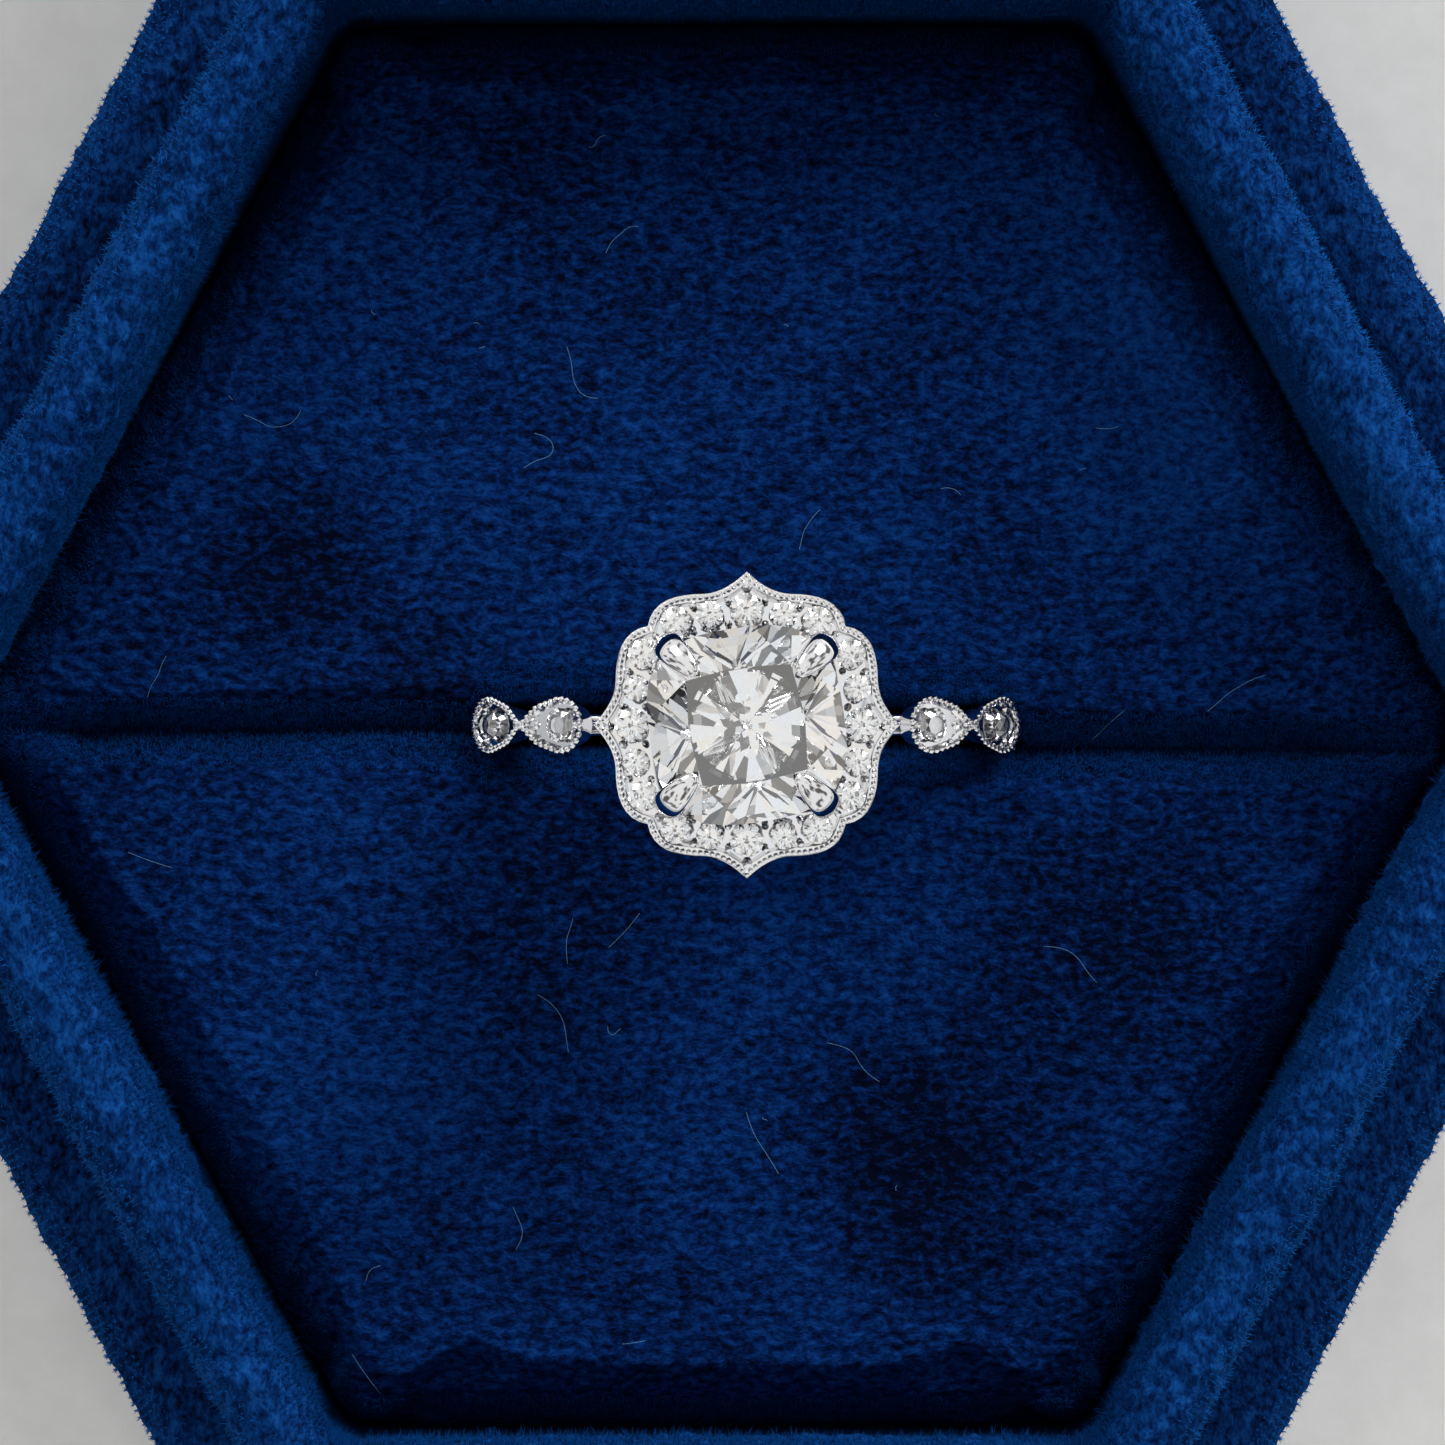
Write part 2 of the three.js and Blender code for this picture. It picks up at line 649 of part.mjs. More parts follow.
function buildRing() {
  const ring = new THREE.Group();
  addPiece(ring, 'ring_shank', ringShank(), WHITE_GOLD);
  addPiece(ring, 'head_rail', headRail(), WHITE_GOLD);
  addPiece(ring, 'halo_plate', haloPlate(), WHITE_GOLD);
  for (let corner = 0; corner < 4; corner += 1) {
    const piece = addPiece(ring, `claw_${corner + 1}`, claw(), WHITE_GOLD);
    piece.rotation.z = degrees(45 + 90 * corner);
  }
  addPiece(ring, 'centre_stone', cushionStone(), STONE);
  haloStones().forEach(({ place, radius }, i) => {
    const number = String(i + 1).padStart(2, '0');
    const piece = addPiece(ring, `halo_stone_${number}`, roundStone(radius), STONE);
    piece.position.set(place.x, place.y, HALO_TOP_Z - RING_Z + 0.25 * radius);
  });
  addBandStones(ring);
  ring.position.set(RING_X, 0, RING_Z);
  return ring;
}

part.add(buildBase());
part.add(layLidDown(buildLid()));
part.add(buildRing());

export default part;
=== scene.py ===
"""Looks for a hexagonal velvet ring box with a halo ring standing in its slit.

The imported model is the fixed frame. Each sub-assembly below is a class that takes its sizes from the frame,
builds its visible meshes in place and dresses them. Lengths are metres; MM turns millimetres into metres.
"""

import logging
import math
import random
from dataclasses import dataclass
from enum import Enum
from typing import Callable, Iterable, Sequence

import bmesh
import bpy
from bmesh.types import BMEdge, BMesh, BMFace, BMVert
from mathutils import Matrix, Vector, noise
from mathutils.geometry import interpolate_bezier


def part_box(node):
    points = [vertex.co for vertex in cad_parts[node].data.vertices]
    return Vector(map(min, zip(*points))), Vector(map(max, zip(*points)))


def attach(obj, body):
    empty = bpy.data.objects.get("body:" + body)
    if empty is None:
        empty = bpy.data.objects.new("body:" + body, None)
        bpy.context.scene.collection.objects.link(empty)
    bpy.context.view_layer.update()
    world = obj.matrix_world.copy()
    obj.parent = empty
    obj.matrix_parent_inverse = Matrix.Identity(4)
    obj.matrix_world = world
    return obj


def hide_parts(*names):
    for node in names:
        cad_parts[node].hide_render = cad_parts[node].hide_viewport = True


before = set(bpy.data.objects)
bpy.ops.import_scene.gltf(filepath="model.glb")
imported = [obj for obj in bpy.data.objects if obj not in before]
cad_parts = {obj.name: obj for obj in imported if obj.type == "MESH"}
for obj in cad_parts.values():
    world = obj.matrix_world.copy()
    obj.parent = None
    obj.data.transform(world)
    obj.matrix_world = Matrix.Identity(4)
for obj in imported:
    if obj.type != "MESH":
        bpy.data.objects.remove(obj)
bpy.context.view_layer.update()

LOG = logging.getLogger("ring_box")
MM = 0.001


# ---------------------------------------------------------------- shader helpers


class Sockets:
    """A small hand for wiring shader nodes in one tree."""

    def __init__(self, tree: bpy.types.NodeTree) -> None:
        """Keeps the tree that the nodes go into."""
        self.tree = tree

    def add(self, kind: str, values: dict | None = None, **settings: object) -> bpy.types.Node:
        """Adds a node.

        Args:
            kind: The node's type name, without the ShaderNode prefix.
            values: Input values or sockets to link, by input name or index.
            settings: Attributes set on the node itself.

        Returns:
            The new node.
        """
        node = self.tree.nodes.new("ShaderNode" + kind)
        for name, value in settings.items():
            setattr(node, name, value)
        for name, value in (values or {}).items():
            self.feed(node.inputs[name], value)
        return node

    def feed(self, socket: bpy.types.NodeSocket, value: object) -> None:
        """Links a socket into an input, or sets the input's plain value."""
        if isinstance(value, bpy.types.NodeSocket):
            self.tree.links.new(value, socket)
        else:
            socket.default_value = value

    def ramp(self, factor: object, stops: Iterable[tuple[float, float]]) -> bpy.types.NodeSocket:
        """A grey ramp over a factor.

        Args:
            factor: The socket or value that drives the ramp.
            stops: Pairs of position and grey value.

        Returns:
            The ramp's colour output.
        """
        node = self.add("ValToRGB", {"Fac": factor})
        elements = node.color_ramp.elements
        for i, (place, grey) in enumerate(stops):
            element = elements[i] if i < 2 else elements.new(place)
            element.position = place
            element.color = (grey, grey, grey, 1)
        return node.outputs["Color"]

    def mix(self, factor: object, a: object, b: object, blend: str = "MIX") -> bpy.types.NodeSocket:
        """Mixes two colours and returns the result's socket."""
        node = self.add("Mix", data_type="RGBA", blend_type=blend)
        self.feed(node.inputs[0], factor)
        self.feed(node.inputs[6], a)
        self.feed(node.inputs[7], b)
        return node.outputs[2]

    def maths(self, operation: str, *values: object) -> bpy.types.NodeSocket:
        """One Math node over the values given, as a socket."""
        node = self.add("Math", operation=operation)
        for socket, value in zip(node.inputs, values):
            self.feed(socket, value)
        return node.outputs[0]


def new_group(name: str, inputs: dict[str, tuple[str, object]], outputs: dict[str, str]) -> Sockets:
    """Starts a shader node group.

    Args:
        name: The group's name.
        inputs: For each input, its socket type and default value.
        outputs: For each output, its socket type.

    Returns:
        A Sockets hand for the group's tree. Its group_in and group_out nodes are set as attributes.
    """
    tree = bpy.data.node_groups.new(name, "ShaderNodeTree")
    for label, (kind, value) in inputs.items():
        socket = tree.interface.new_socket(label, in_out="INPUT", socket_type="NodeSocket" + kind)
        if value is not None:
            socket.default_value = value
    for label, kind in outputs.items():
        tree.interface.new_socket(label, in_out="OUTPUT", socket_type="NodeSocket" + kind)
    hand = Sockets(tree)
    hand.group_in = tree.nodes.new("NodeGroupInput")
    hand.group_out = tree.nodes.new("NodeGroupOutput")
    return hand


class PileGroup:
    """The velvet pile as colour and height: short combed tufts, random patches, stray lighter fibres and
    spots of painted light and shade.
    """

    NAME = "velvet_pile"

    @classmethod
    def get(cls) -> bpy.types.NodeTree:
        """The group, built on its first use."""
        return bpy.data.node_groups.get(cls.NAME) or cls.build()

    @classmethod
    def build(cls) -> bpy.types.NodeTree:
        """Builds the group.

        Returns:
            A tree that takes combed coordinates in millimetres and three blues, and gives Color and Height.
        """
        hand = new_group(
            cls.NAME,
            {
                "Vector": ("Vector", None),
                "Place": ("Vector", None),
                "Deep": ("Color", (0, 0.002, 0.02, 1)),
                "Mid": ("Color", (0, 0.02, 0.12, 1)),
                "Light": ("Color", (0.01, 0.07, 0.28, 1)),
                "Patches": ("Float", 0.5),
                "PileAndPaintedLight": ("Float", 0.0),
            },
            {"Color": "Color", "Height": "Float"},
        )
        taken = hand.group_in.outputs
        wander = hand.add("TexNoise", {"Vector": taken["Place"], "Scale": 0.9, "Detail": 2.0})
        bent = hand.add("VectorMath", {0: wander.outputs["Color"], 1: (0.5, 0.5, 0.5)}, operation="SUBTRACT")
        pushed = hand.add("VectorMath", {0: bent.outputs[0], "Scale": 1.6}, operation="SCALE")
        flow = hand.add("VectorMath", {0: taken["Vector"], 1: pushed.outputs[0]}, operation="ADD")
        grain = {"Vector": flow.outputs[0], "Scale": 1.0, "Detail": 2.5, "Roughness": 0.55}
        tufts = hand.add("TexNoise", grain)
        strands = hand.add("TexNoise", {"Vector": flow.outputs[0], "Scale": 3.1, "Detail": 2.0})
        mixed = hand.maths("MULTIPLY_ADD", strands.outputs["Fac"], 0.3, 0.0)
        height = hand.maths("MULTIPLY_ADD", tufts.outputs["Fac"], 0.7, mixed)
        patches = hand.add("TexNoise", {"Vector": taken["Place"], "Scale": 0.16, "Detail": 2.0})
        tone_shift = hand.ramp(patches.outputs["Fac"], [(0.34, 0.0), (0.62, 1.0)])
        shift = hand.maths("MULTIPLY", hand.maths("SUBTRACT", tone_shift, 0.5), taken["Patches"])
        # The spots input adds painted light and painted shade to the pile's tone and height.
        level = hand.maths("ADD", hand.maths("MULTIPLY_ADD", shift, 0.16, height), taken["PileAndPaintedLight"])
        low = hand.ramp(level, [(0.36, 0.0), (0.52, 1.0)])
        high = hand.ramp(level, [(0.5, 0.0), (0.72, 1.0)])
        colour = hand.mix(high, hand.mix(low, taken["Deep"], taken["Mid"]), taken["Light"])
        hand.feed(hand.group_out.inputs["Color"], colour)
        hand.feed(hand.group_out.inputs["Height"], level)
        return hand.tree


@dataclass(frozen=True)
class VelvetFinish:
    """Cotton velvet in royal blue.

    The comb is how many tufts stand in a millimetre along X, Y and Z: the fewer, the longer the tufts lie
    along that axis. Each spot is its X, Y and radius in millimetres, and how much lighter it lies; the spots
    are painted light and painted shade, and some only lighten or darken the pile where they lie.
    """

    name: str
    comb: tuple[float, float, float] = (2.9, 4.4, 2.8)
    deep: tuple[float, float, float] = (0.0002, 0.0012, 0.007)
    mid: tuple[float, float, float] = (0.0004, 0.0075, 0.048)
    light: tuple[float, float, float] = (0.0018, 0.023, 0.115)
    patches: float = 0.35
    sheen: float = 0.06
    relief: float = 0.16
    pile_and_painted_light_spots: tuple[tuple[float, float, float, float], ...] = ()

    def material(self) -> bpy.types.Material:
        """The finish as a material, made once."""
        made = bpy.data.materials.get(self.name)
        if made:
            return made
        made = bpy.data.materials.new(self.name)
        made.use_nodes = True
        hand = Sockets(made.node_tree)
        shader = made.node_tree.nodes["Principled BSDF"]
        place = hand.add("TexCoord").outputs["Object"]
        comb = hand.add("Mapping", {"Vector": place, "Scale": tuple(c / MM for c in self.comb)})
        flat = hand.add("Mapping", {"Vector": place, "Scale": (1 / MM, 1 / MM, 1 / MM)})
        pile = hand.add("Group", node_tree=PileGroup.get())
        hand.feed(pile.inputs["Vector"], comb.outputs[0])
        hand.feed(pile.inputs["Place"], flat.outputs[0])
        hand.feed(pile.inputs["Deep"], (*self.deep, 1))
        hand.feed(pile.inputs["Mid"], (*self.mid, 1))
        hand.feed(pile.inputs["Light"], (*self.light, 1))
        hand.feed(pile.inputs["Patches"], self.patches)
        # Spots of painted light and painted shade: each lightens or darkens the pile within its radius.
        tone_shift: object = 0.0
        for x, y, radius, depth in self.pile_and_painted_light_spots:
            away = hand.add("VectorMath", {0: flat.outputs[0], 1: (x, y, 20.0)}, operation="DISTANCE")
            span = {0: away.outputs["Value"], 1: radius, 2: 0.0}
            near = hand.add("MapRange", span, interpolation_type="SMOOTHSTEP")
            tone_shift = hand.maths("MULTIPLY_ADD", near.outputs[0], depth, tone_shift)
        hand.feed(pile.inputs["PileAndPaintedLight"], tone_shift)
        raised = {"Height": pile.outputs["Height"], "Strength": 0.7, "Distance": self.relief * MM}
        relief = hand.add("Bump", raised)
        hand.feed(shader.inputs["Base Color"], pile.outputs["Color"])
        hand.feed(shader.inputs["Normal"], relief.outputs[0])
        shader.inputs["Roughness"].default_value = 0.95
        shader.inputs["Specular IOR Level"].default_value = 0.02
        shader.inputs["Sheen Weight"].default_value = self.sheen
        shader.inputs["Sheen Roughness"].default_value = 0.4
        shader.inputs["Sheen Tint"].default_value = (0.0, 0.25, 0.85, 1)
        return made


@dataclass(frozen=True)
class MetalFinish:
    """Polished white gold with fine drawn marks and a faintly uneven gloss."""

    name: str
    colour: tuple[float, float, float] = (0.86, 0.85, 0.84)
    shade: tuple[float, float, float] = (0.7, 0.69, 0.68)
    gloss: float = 0.08

    def material(self) -> bpy.types.Material:
        """The finish as a material, made once."""
        made = bpy.data.materials.get(self.name)
        if made:
            return made
        made = bpy.data.materials.new(self.name)
        made.use_nodes = True
        hand = Sockets(made.node_tree)
        shader = made.node_tree.nodes["Principled BSDF"]
        place = hand.add("TexCoord").outputs["Object"]
        marks = hand.add("TexNoise", {"Vector": place, "Scale": 1.2 / MM, "Detail": 3.0})
        spread = hand.ramp(marks.outputs["Fac"], [(0.35, 0.0), (0.7, 1.0)])
        hand.feed(shader.inputs["Base Color"], hand.mix(spread, (*self.shade, 1), (*self.colour, 1)))
        hand.feed(shader.inputs["Roughness"], hand.maths("MULTIPLY_ADD", spread, 0.06, self.gloss))
        shader.inputs["Metallic"].default_value = 1.0
        return made


@dataclass(frozen=True)
class StoneFinish:
    """Clear cut stone: high index glass."""

    name: str
    index: float = 2.6
    colour: tuple[float, float, float] = (0.98, 0.985, 1.0)

    def material(self) -> bpy.types.Material:
        """The finish as a material, made once."""
        made = bpy.data.materials.get(self.name)
        if made:
            return made
        made = bpy.data.materials.new(self.name)
        made.use_nodes = True
        shader = made.node_tree.nodes["Principled BSDF"]
        shader.inputs["Base Color"].default_value = (*self.colour, 1)
        shader.inputs["Roughness"].default_value = 0.0
        shader.inputs["IOR"].default_value = self.index
        shader.inputs["Transmission Weight"].default_value = 1.0
        return made


@dataclass(frozen=True)
class FibreFinish:
    """Loose fibres in one plain colour, since each is finer than any pattern on it."""

    name: str
    colour: tuple[float, float, float]

    def material(self) -> bpy.types.Material:
        """The finish as a material, made once."""
        made = bpy.data.materials.get(self.name)
        if made:
            return made
        made = bpy.data.materials.new(self.name)
        made.use_nodes = True
        shader = made.node_tree.nodes["Principled BSDF"]
        shader.inputs["Base Color"].default_value = (*self.colour, 1)
        shader.inputs["Roughness"].default_value = 0.9
        shader.inputs["Specular IOR Level"].default_value = 0.0
        return made


@dataclass(frozen=True)
class BoardFinish:
    """Fibrous matt sheet: greyboard, felt or foam, from two colours and a grain size."""

    name: str
    base: tuple[float, float, float]
    fleck: tuple[float, float, float]
    grain: float = 1.2
    relief: float = 0.05

    def material(self) -> bpy.types.Material:
        """The finish as a material, made once."""
        made = bpy.data.materials.get(self.name)
        if made:
            return made
        made = bpy.data.materials.new(self.name)
        made.use_nodes = True
        hand = Sockets(made.node_tree)
        shader = made.node_tree.nodes["Principled BSDF"]
        place = hand.add("TexCoord").outputs["Object"]
        grain = {"Vector": place, "Scale": self.grain / MM, "Detail": 4.0, "Roughness": 0.7}
        fibre = hand.add("TexNoise", grain)
        spread = hand.ramp(fibre.outputs["Fac"], [(0.38, 0.0), (0.66, 1.0)])
        raised = {"Height": fibre.outputs["Fac"], "Strength": 0.6, "Distance": self.relief * MM}
        relief = hand.add("Bump", raised)
        hand.feed(shader.inputs["Base Color"], hand.mix(spread, (*self.base, 1), (*self.fleck, 1)))
        hand.feed(shader.inputs["Normal"], relief.outputs[0])
        shader.inputs["Roughness"].default_value = 0.92
        return made


PAD_VELVET = VelvetFinish(
    "pad_velvet",
    # Painted light and shade on the pads: the ring's shadow below the halo at (-6.2, -4), and a lighter upper
    # right toward the lamp at (15, 11); the other spots only darken or lighten the pile where they lie.
    pile_and_painted_light_spots=(
        (-9, 0.7, 5, -0.06),
        (6.9, -14.2, 6, -0.12),
        (13.4, -7.5, 7, -0.1),
        (-13.5, 5.3, 4, -0.1),
        (-5, 18.5, 4, -0.06),
        (8.4, 14.1, 4, -0.04),
        (-6.2, -4, 7, -0.07),
        (-10.6, 14.4, 6, 0.05),
        (-13.8, -11, 7, 0.06),
        (15, 11, 9, 0.09),
    ),
)
WALL_VELVET = VelvetFinish(
    "wall_velvet",
    comb=(4.0, 2.6, 2.4),
    mid=(0.0006, 0.01, 0.055),
    light=(0.0026, 0.03, 0.125),
    patches=0.3,
    sheen=0.08,
)
# A lighter copy of the wall velvet: painted light on the raised collar, whose cloth is the same blue.
COLLAR_VELVET_PAINTED_LIGHTER = VelvetFinish(
    "collar_velvet_painted_lighter",
    comb=(4.0, 2.6, 2.4),
    deep=(0.0003, 0.004, 0.024),
    mid=(0.0009, 0.017, 0.086),
    light=(0.0034, 0.042, 0.165),
    patches=0.3,
    sheen=0.08,
)
LOOSE_FIBRE = FibreFinish("loose_fibre", (0.0012, 0.022, 0.1))
# Lighter than the velvet: painted sheen for the bright rims where the pile is seen side-on.
PAINTED_SHEEN_FIBRE = FibreFinish("painted_sheen_fibre", (0.0035, 0.06, 0.24))
PALE_LINT = FibreFinish("pale_lint", (0.07, 0.15, 0.25))
WHITE_GOLD = MetalFinish("white_gold")
CLEAR_STONE = StoneFinish("clear_stone")
GREYBOARD = BoardFinish("greyboard", (0.3, 0.28, 0.25), (0.46, 0.44, 0.4))
FELT = BoardFinish("underside_felt", (0.004, 0.016, 0.07), (0.012, 0.04, 0.14), grain=2.0, relief=0.08)
FOAM = BoardFinish("pad_foam", (0.62, 0.58, 0.48), (0.8, 0.77, 0.68), grain=0.8, relief=0.12)


# ---------------------------------------------------------------- mesh helpers


class Body(Enum):
    """The bodies that pieces ride on."""

    BASE = "base"
    LID = "lid"
    RING = "ring"


def to_piece(bm: BMesh, name: str, smooth: bool = True) -> bpy.types.Object:
    """Turns a bmesh into a linked object at the origin.

    Args:
        bm: The mesh, which is freed.
        name: The piece's name.
        smooth: Whether its faces are shaded smooth.

    Returns:
        The new object.
    """
    mesh = bpy.data.meshes.new(name)
    bm.to_mesh(mesh)
    bm.free()
    if smooth:
        mesh.shade_smooth()
    else:
        mesh.shade_flat()
    piece = bpy.data.objects.new(name, mesh)
    bpy.context.scene.collection.objects.link(piece)
    return piece


def settle(piece: bpy.types.Object, body: Body, material: bpy.types.Material, slot: str, *nodes: str) -> None:
    """Gives a piece its material and body and hides the CAD nodes that it stands for."""
    piece.data.materials.clear()
    piece.data.materials.append(material)
    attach(piece, body.value)
    if nodes:
        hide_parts(*nodes)
    LOG.info("%s: %d faces", piece.name, len(piece.data.polygons))


def dress(nodes: Iterable[str], material: bpy.types.Material) -> None:
    """Gives CAD nodes that stay as they are a better material."""
    for name in nodes:
        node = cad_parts[name]
        for slot in node.material_slots:
            slot.material = material


def apply_modifier(piece: bpy.types.Object, kind: str, **settings: object) -> None:
    """Adds a modifier with its settings and makes its result the piece's own mesh."""
    modifier = piece.modifiers.new(kind.lower(), kind)
    for name, value in settings.items():
        setattr(modifier, name, value)
    made = bpy.data.meshes.new_from_object(piece.evaluated_get(bpy.context.evaluated_depsgraph_get()))
    piece.modifiers.remove(modifier)
    old = piece.data
    piece.data = made
    bpy.data.meshes.remove(old)


def outward(bm: BMesh) -> None:
    """Merges doubles and turns every face out."""
    bmesh.ops.remove_doubles(bm, verts=bm.verts, dist=1e-7)
    bmesh.ops.recalc_face_normals(bm, faces=bm.faces)


class Path:
    """A profile in apothem and height, walked in even steps."""

    def __init__(self, apothem: float, z: float, step: float) -> None:
        """Starts the path at a point.

        Args:
            apothem: The first point's distance from the axis, square to a slanted side.
            z: The first point's height.
            step: The longest step between points.
        """
        self.points = [(apothem, z)]
        self.step = step

    def line(self, apothem: float, z: float, step: float | None = None) -> "Path":
        """Walks straight to a point and returns the path."""
        a, b = self.points[-1]
        count = max(1, math.ceil(math.hypot(apothem - a, z - b) / (step or self.step)))
        for i in range(1, count + 1):
            share = i / count
            self.points.append((a + (apothem - a) * share, b + (z - b) * share))
        return self

    def arc(self, apothem: float, z: float, radius: float, start: float, end: float) -> "Path":
        """Walks round part of a circle, from one angle to another in degrees, and returns the path."""
        length = radius * math.radians(abs(end - start))
        count = max(3, math.ceil(length / self.step))
        for i in range(count + 1):
            turn = math.radians(start + (end - start) * i / count)
            self.points.append((apothem + radius * math.cos(turn), z + radius * math.sin(turn)))
        return self


@dataclass(frozen=True)
class Hexagon:
    """The outline that every layer of the box follows: four slanted sides, and two flat ends further out.

    Args:
        side_slope: The slanted sides' angle from the X axis.
        end_extra: How much further from the axis the flat ends lie than the slanted sides.
        widest: The outermost layer's apothem.
        corner: The outermost layer's corner radius.
        shrink: How much the corner radius falls for each unit further in.
    """

    side_slope: float = math.radians(62.2)
    end_extra: float = 1.55 * MM
    widest: float = 27.2 * MM
    corner: float = 4.2 * MM
    shrink: float = 0.6

    def reach(self, place: Vector) -> float:
        """The apothem of the outline that passes through a place."""
        x, y = abs(place.x), abs(place.y)
        return max(y - self.end_extra, x * math.sin(self.side_slope) + y * math.cos(self.side_slope))

    def hold(self, place: Vector, limit: float) -> None:
        """Moves a place straight back from the nearest side, if it lies beyond an apothem."""
        sine, cosine = math.sin(self.side_slope), math.cos(self.side_slope)
        over = abs(place.x) * sine + abs(place.y) * cosine - limit
        if over > 0:
            place.x -= math.copysign(over * sine, place.x)
            place.y -= math.copysign(over * cosine, place.y)
        if abs(place.y) > limit + self.end_extra:
            place.y = math.copysign(limit + self.end_extra, place.y)

    def face(self, bm: BMesh, apothem: float, z: float, segments: int = 4, cuts: int = 2) -> BMFace:
        """A face of the outline with rounded corners.

        Args:
            bm: An empty mesh to make it in.
            apothem: The distance from the axis to a slanted side.
            z: The face's height.
            segments: Edges round each corner.
            cuts: Points along each straight side.

        Returns:
            The face.
        """
        sine, cosine = math.sin(self.side_slope), math.cos(self.side_slope)
        radius = apothem / sine
        end = apothem + self.end_extra
        end_x = (apothem - end * cosine) / sine
        place = Matrix.Translation((0, 0, z)) @ Matrix.Rotation(math.pi / 2, 4, "Z")
        made = bmesh.ops.create_circle(bm, cap_ends=True, segments=6, radius=radius, matrix=place)["verts"]
        ends = [v for v in made if abs(v.co.y) > radius / 2]
        bmesh.ops.scale(bm, vec=(2 * end_x / radius, end / (radius * math.sin(math.pi / 3)), 1), verts=ends)
        corner = self.corner - self.shrink * (self.widest - apothem)
        bmesh.ops.bevel(
            bm,
            geom=made,
            offset=corner * math.tan(math.pi / 6),
            offset_type="OFFSET",
            affect="VERTICES",
            segments=segments,
            profile=0.5,
            material=-1,
        )
        sides = [e for e in bm.edges if e.calc_length() > apothem / 3]
        bmesh.ops.subdivide_edges(bm, edges=sides, cuts=cuts)
        return max(bm.faces, key=BMFace.calc_area)

    def loop(self, bm: BMesh, apothem: float, z: float, step: float) -> list[BMEdge]:
        """The outline as a ring of edges, ready to sweep.

        Each point keeps how it moves as the apothem grows, which is the difference between this outline and
        one a little smaller.

        Args:
            bm: The mesh to add to.
            apothem: The outline's apothem.
            z: Its height.
            step: The longest edge.

        Returns:
            The ring's edges.
        """
        out = bm.verts.layers.float_vector.new("out")
        segments = max(4, math.ceil(self.corner * math.pi / 3 / step))
        cuts = 2 * math.ceil(apothem * math.tan(math.pi / 6) / step)
        smaller = self.from_front(self.face(bm, apothem - MM, z, segments, cuts))
        inner = [v.co.copy() for v in smaller]
        bmesh.ops.delete(bm, geom=smaller, context="VERTS")
        face = self.face(bm, apothem, z, segments, cuts)
        for vert, before in zip(self.from_front(face), inner):
            vert[out] = (vert.co - before) / MM
        edges = list(face.edges)
        bmesh.ops.delete(bm, geom=[face], context="FACES_ONLY")
        return edges

    def from_front(self, face: BMFace) -> list[BMVert]:
        """A face's points in order round the axis, from the middle of the front side."""
        return sorted(face.verts, key=lambda v: math.atan2(-v.co.x, v.co.y))


OUTLINE = Hexagon()


def sweep(bm: BMesh, edges: list[BMEdge], points: Sequence[tuple[float, float]]) -> list[BMEdge]:
    """Draws an outline's loop along a profile, at an even distance from side to side.

    Args:
        bm: The mesh that holds the loop.
        edges: The loop, which lies at the profile's first point.
        points: The profile as apothem and height.

    Returns:
        The loop at the profile's last point.
    """
    out = bm.verts.layers.float_vector["out"]
    for (apothem, z), (next_apothem, next_z) in zip(points, points[1:]):
        made = bmesh.ops.extrude_edge_only(bm, edges=edges)["geom"]
        edges = [g for g in made if isinstance(g, BMEdge)]
        for vert in (g for g in made if isinstance(g, BMVert)):
            vert.co += vert[out] * (next_apothem - apothem)
            vert.co.z += next_z - z
    return edges


def swept_wall(path: Path, step: float) -> BMesh:
    """A closed wall that follows a profile round the outline and joins its own start.

    Args:
        path: The profile, walked once round the wall's section.
        step: The longest edge along the outline.

    Returns:
        The mesh.
    """
    bm = bmesh.new()
    apothem, z = path.points[0]
    first = OUTLINE.loop(bm, apothem, z, step)
    last = sweep(bm, first, path.points)
    bmesh.ops.bridge_loops(bm, edges=first + last)
    outward(bm)
    return bm


def draw_out(bm: BMesh, segments: int, stations: Sequence[Matrix]) -> None:
    """Draws a capped round bar through stations.

    Args:
        bm: The mesh to add to.
        segments: Sides of the bar.
        stations: Each places, turns and scales a unit circle.
    """
    made = bmesh.ops.create_circle(bm, cap_ends=True, segments=segments, radius=1.0, matrix=stations[0])
    face = made["verts"][0].link_faces[0]
    for here, there in zip(stations, stations[1:]):
        drawn = bmesh.ops.extrude_face_region(bm, geom=[face])["geom"]
        if here is not stations[0]:
            bmesh.ops.delete(bm, geom=[face], context="FACES_ONLY")
        face = next(g for g in drawn if isinstance(g, BMFace))
        bmesh.ops.transform(bm, matrix=there @ here.inverted(), verts=list(face.verts))


def hull_of(bm: BMesh) -> None:
    """Wraps a mesh's points in their hull and joins its flat parts into whole facets."""
    bmesh.ops.delete(bm, geom=list(bm.edges), context="EDGES_FACES")
    bmesh.ops.convex_hull(bm, input=list(bm.verts))
    bmesh.ops.delete(bm, geom=[v for v in bm.verts if not v.link_faces], context="VERTS")
    bmesh.ops.dissolve_limit(bm, angle_limit=math.radians(0.6), verts=list(bm.verts), edges=list(bm.edges))
    outward(bm)


def join(bm: BMesh, other: BMesh) -> None:
    """Copies another mesh into this one and frees the other."""
    mesh = bpy.data.meshes.new("joined")
    other.to_mesh(mesh)
    other.free()
    bm.from_mesh(mesh)
    bpy.data.meshes.remove(mesh)


def add_beads(bm: BMesh, places: Iterable[Vector], radius: float) -> None:
    """Adds small round beads at places."""
    for place in places:
        bmesh.ops.create_icosphere(bm, subdivisions=1, radius=radius, matrix=Matrix.Translation(place))


def evenly(points: Sequence[Vector], spacing: float) -> list[Vector]:
    """Points an even distance apart along a closed chain of points."""
    chain = [*points, points[0]]
    lengths = [(b - a).length for a, b in zip(chain, chain[1:])]
    count = max(3, round(sum(lengths) / spacing))
    pitch = sum(lengths) / count
    places, walked, index = [], 0.0, 0
    for number in range(count):
        target = number * pitch
        while walked + lengths[index] < target and index < len(lengths) - 1:
            walked += lengths[index]
            index += 1
        share = (target - walked) / max(lengths[index], 1e-12)
        places.append(chain[index].lerp(chain[index + 1], share))
    return places


